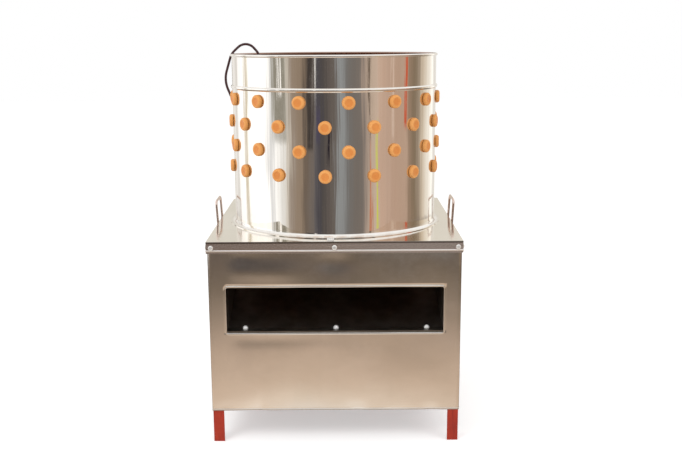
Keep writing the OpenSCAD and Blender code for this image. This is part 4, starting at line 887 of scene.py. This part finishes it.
def patch(tree, at, spin, size, color, under):
    """Lays a soft-edged upright patch of colour on the wall, at a bearing and a height."""
    near = maths(tree, "SUBTRACT", bearing, math.radians(at))
    lean = maths(tree, "MULTIPLY_ADD", axes["Z"], spin, near)
    aside = maths(tree, "ABSOLUTE", lean)
    wide = remap(tree, aside, math.radians(size[0]) * 0.5, math.radians(size[0]), 1, 0)
    low = remap(tree, axes["Z"], size[1] - 0.06, size[1], 0, 1)
    high = remap(tree, axes["Z"], size[2], size[2] + 0.06, 1, 0)
    mask = maths(tree, "MULTIPLY", low, high)
    mask = maths(tree, "MULTIPLY", mask, wide)
    return mixed(tree, mask, under, (*color, 1))


# Bearing and lean, width with foot and top, and colour of the single things that stand out
patches = [
    (46.5, 0.0, (1.6, -0.5, 0.50), (0.62, 0.66, 0.10)),
    (82.5, -0.03, (2.2, 0.46, 1.4), (0.60, 0.10, 0.04)),
    (38.0, 0.05, (1.4, -0.5, 0.22), (0.55, 0.20, 0.10)),
    (-4.0, 0.0, (2.6, 0.20, 0.36), (0.015, 0.012, 0.02)),
    (-17.0, 0.02, (2.2, 0.40, 0.52), (0.08, 0.07, 0.11)),
    (-61.0, 0.0, (11.0, 0.40, 2.0), (0.30, 0.28, 0.23)),
    (-58.0, 0.06, (2.4, 0.60, 2.0), (0.97, 0.95, 0.92)),
    (-20.5, 0.0, (1.6, 0.66, 2.0), (0.80, 0.78, 0.75)),
    (-27.0, 0.0, (4.0, 0.30, 2.0), (0.06, 0.05, 0.045)),
    (36.5, -0.02, (1.6, 0.30, 2.0), (0.16, 0.12, 0.09)),
    (66.0, 0.02, (2.2, 0.30, 2.0), (0.68, 0.52, 0.42)),
]
for at, spin, size, color in patches:
    room_color = patch(room, at, spin, size, color, room_color)
# The brightest bands are windows, which outshine the rest
bright = add(room, "ShaderNodeRGBToBW", Color=room_color).outputs[0]
level = remap(room, bright, 0.86, 0.97, 1 / window_glow, 1.0)
room.links.new(add(room, "ShaderNodeVectorMath", operation="SCALE", _0=room_color,
                   Scale=level).outputs[0], out.inputs[0])

wall_finish, tree, shader = glow("workshop_wall")
feed(tree, place_group(tree, room)[0], shader, "Emission Color")
mesh = bmesh.new()
first = mesh.verts.new((0, -room_r, 0))
upper = mesh.verts.new((0, -room_r, room_h))
edge = mesh.edges.new((first, upper))
bmesh.ops.spin(mesh, geom=[first, upper, edge], cent=(0, 0, 0), axis=(0, 0, 1),
               angle=math.radians(360), steps=96, use_merge=True)
only_reflected(stage_piece("workshop_wall", mesh, wall_finish))

rug_finish, tree, shader = glow("workshop_floor")
where = add(tree, "ShaderNodeTexCoord").outputs["Object"]
away = add(tree, "ShaderNodeVectorMath", operation="LENGTH", _0=where).outputs["Value"]
blotch = noise(tree, (1, 1, 1), 2.6, 3, 0.5)
away = maths(tree, "MULTIPLY_ADD", blotch, 0.5, away)
near = bands(tree, remap(tree, away, 0.6, 3.0, 0, 1), [
    (0.0, (1.0, 0.99, 0.96)), (0.05, (0.90, 0.77, 0.64)), (0.12, (0.70, 0.55, 0.43)),
    (0.26, (0.58, 0.45, 0.35)),
    (0.42, (0.36, 0.285, 0.225)), (0.56, (0.20, 0.16, 0.12)), (0.72, (0.135, 0.105, 0.08)),
    (0.86, (0.20, 0.155, 0.13)), (1.0, (0.22, 0.175, 0.155))])
near = add(tree, "ShaderNodeVectorMath", operation="SCALE", _0=near,
           Scale=1 / window_glow).outputs[0]
far = remap(tree, away, 2.55, 3.0, 0, 1)
feed(tree, mixed(tree, far, near, place_group(tree, room)[0]), shader, "Emission Color")
mesh = bmesh.new()
bmesh.ops.create_circle(mesh, cap_ends=True, segments=96, radius=room_r)
bmesh.ops.translate(mesh, verts=mesh.verts, vec=(0, 0, 0.002))
only_reflected(stage_piece("workshop_floor", mesh, rug_finish))
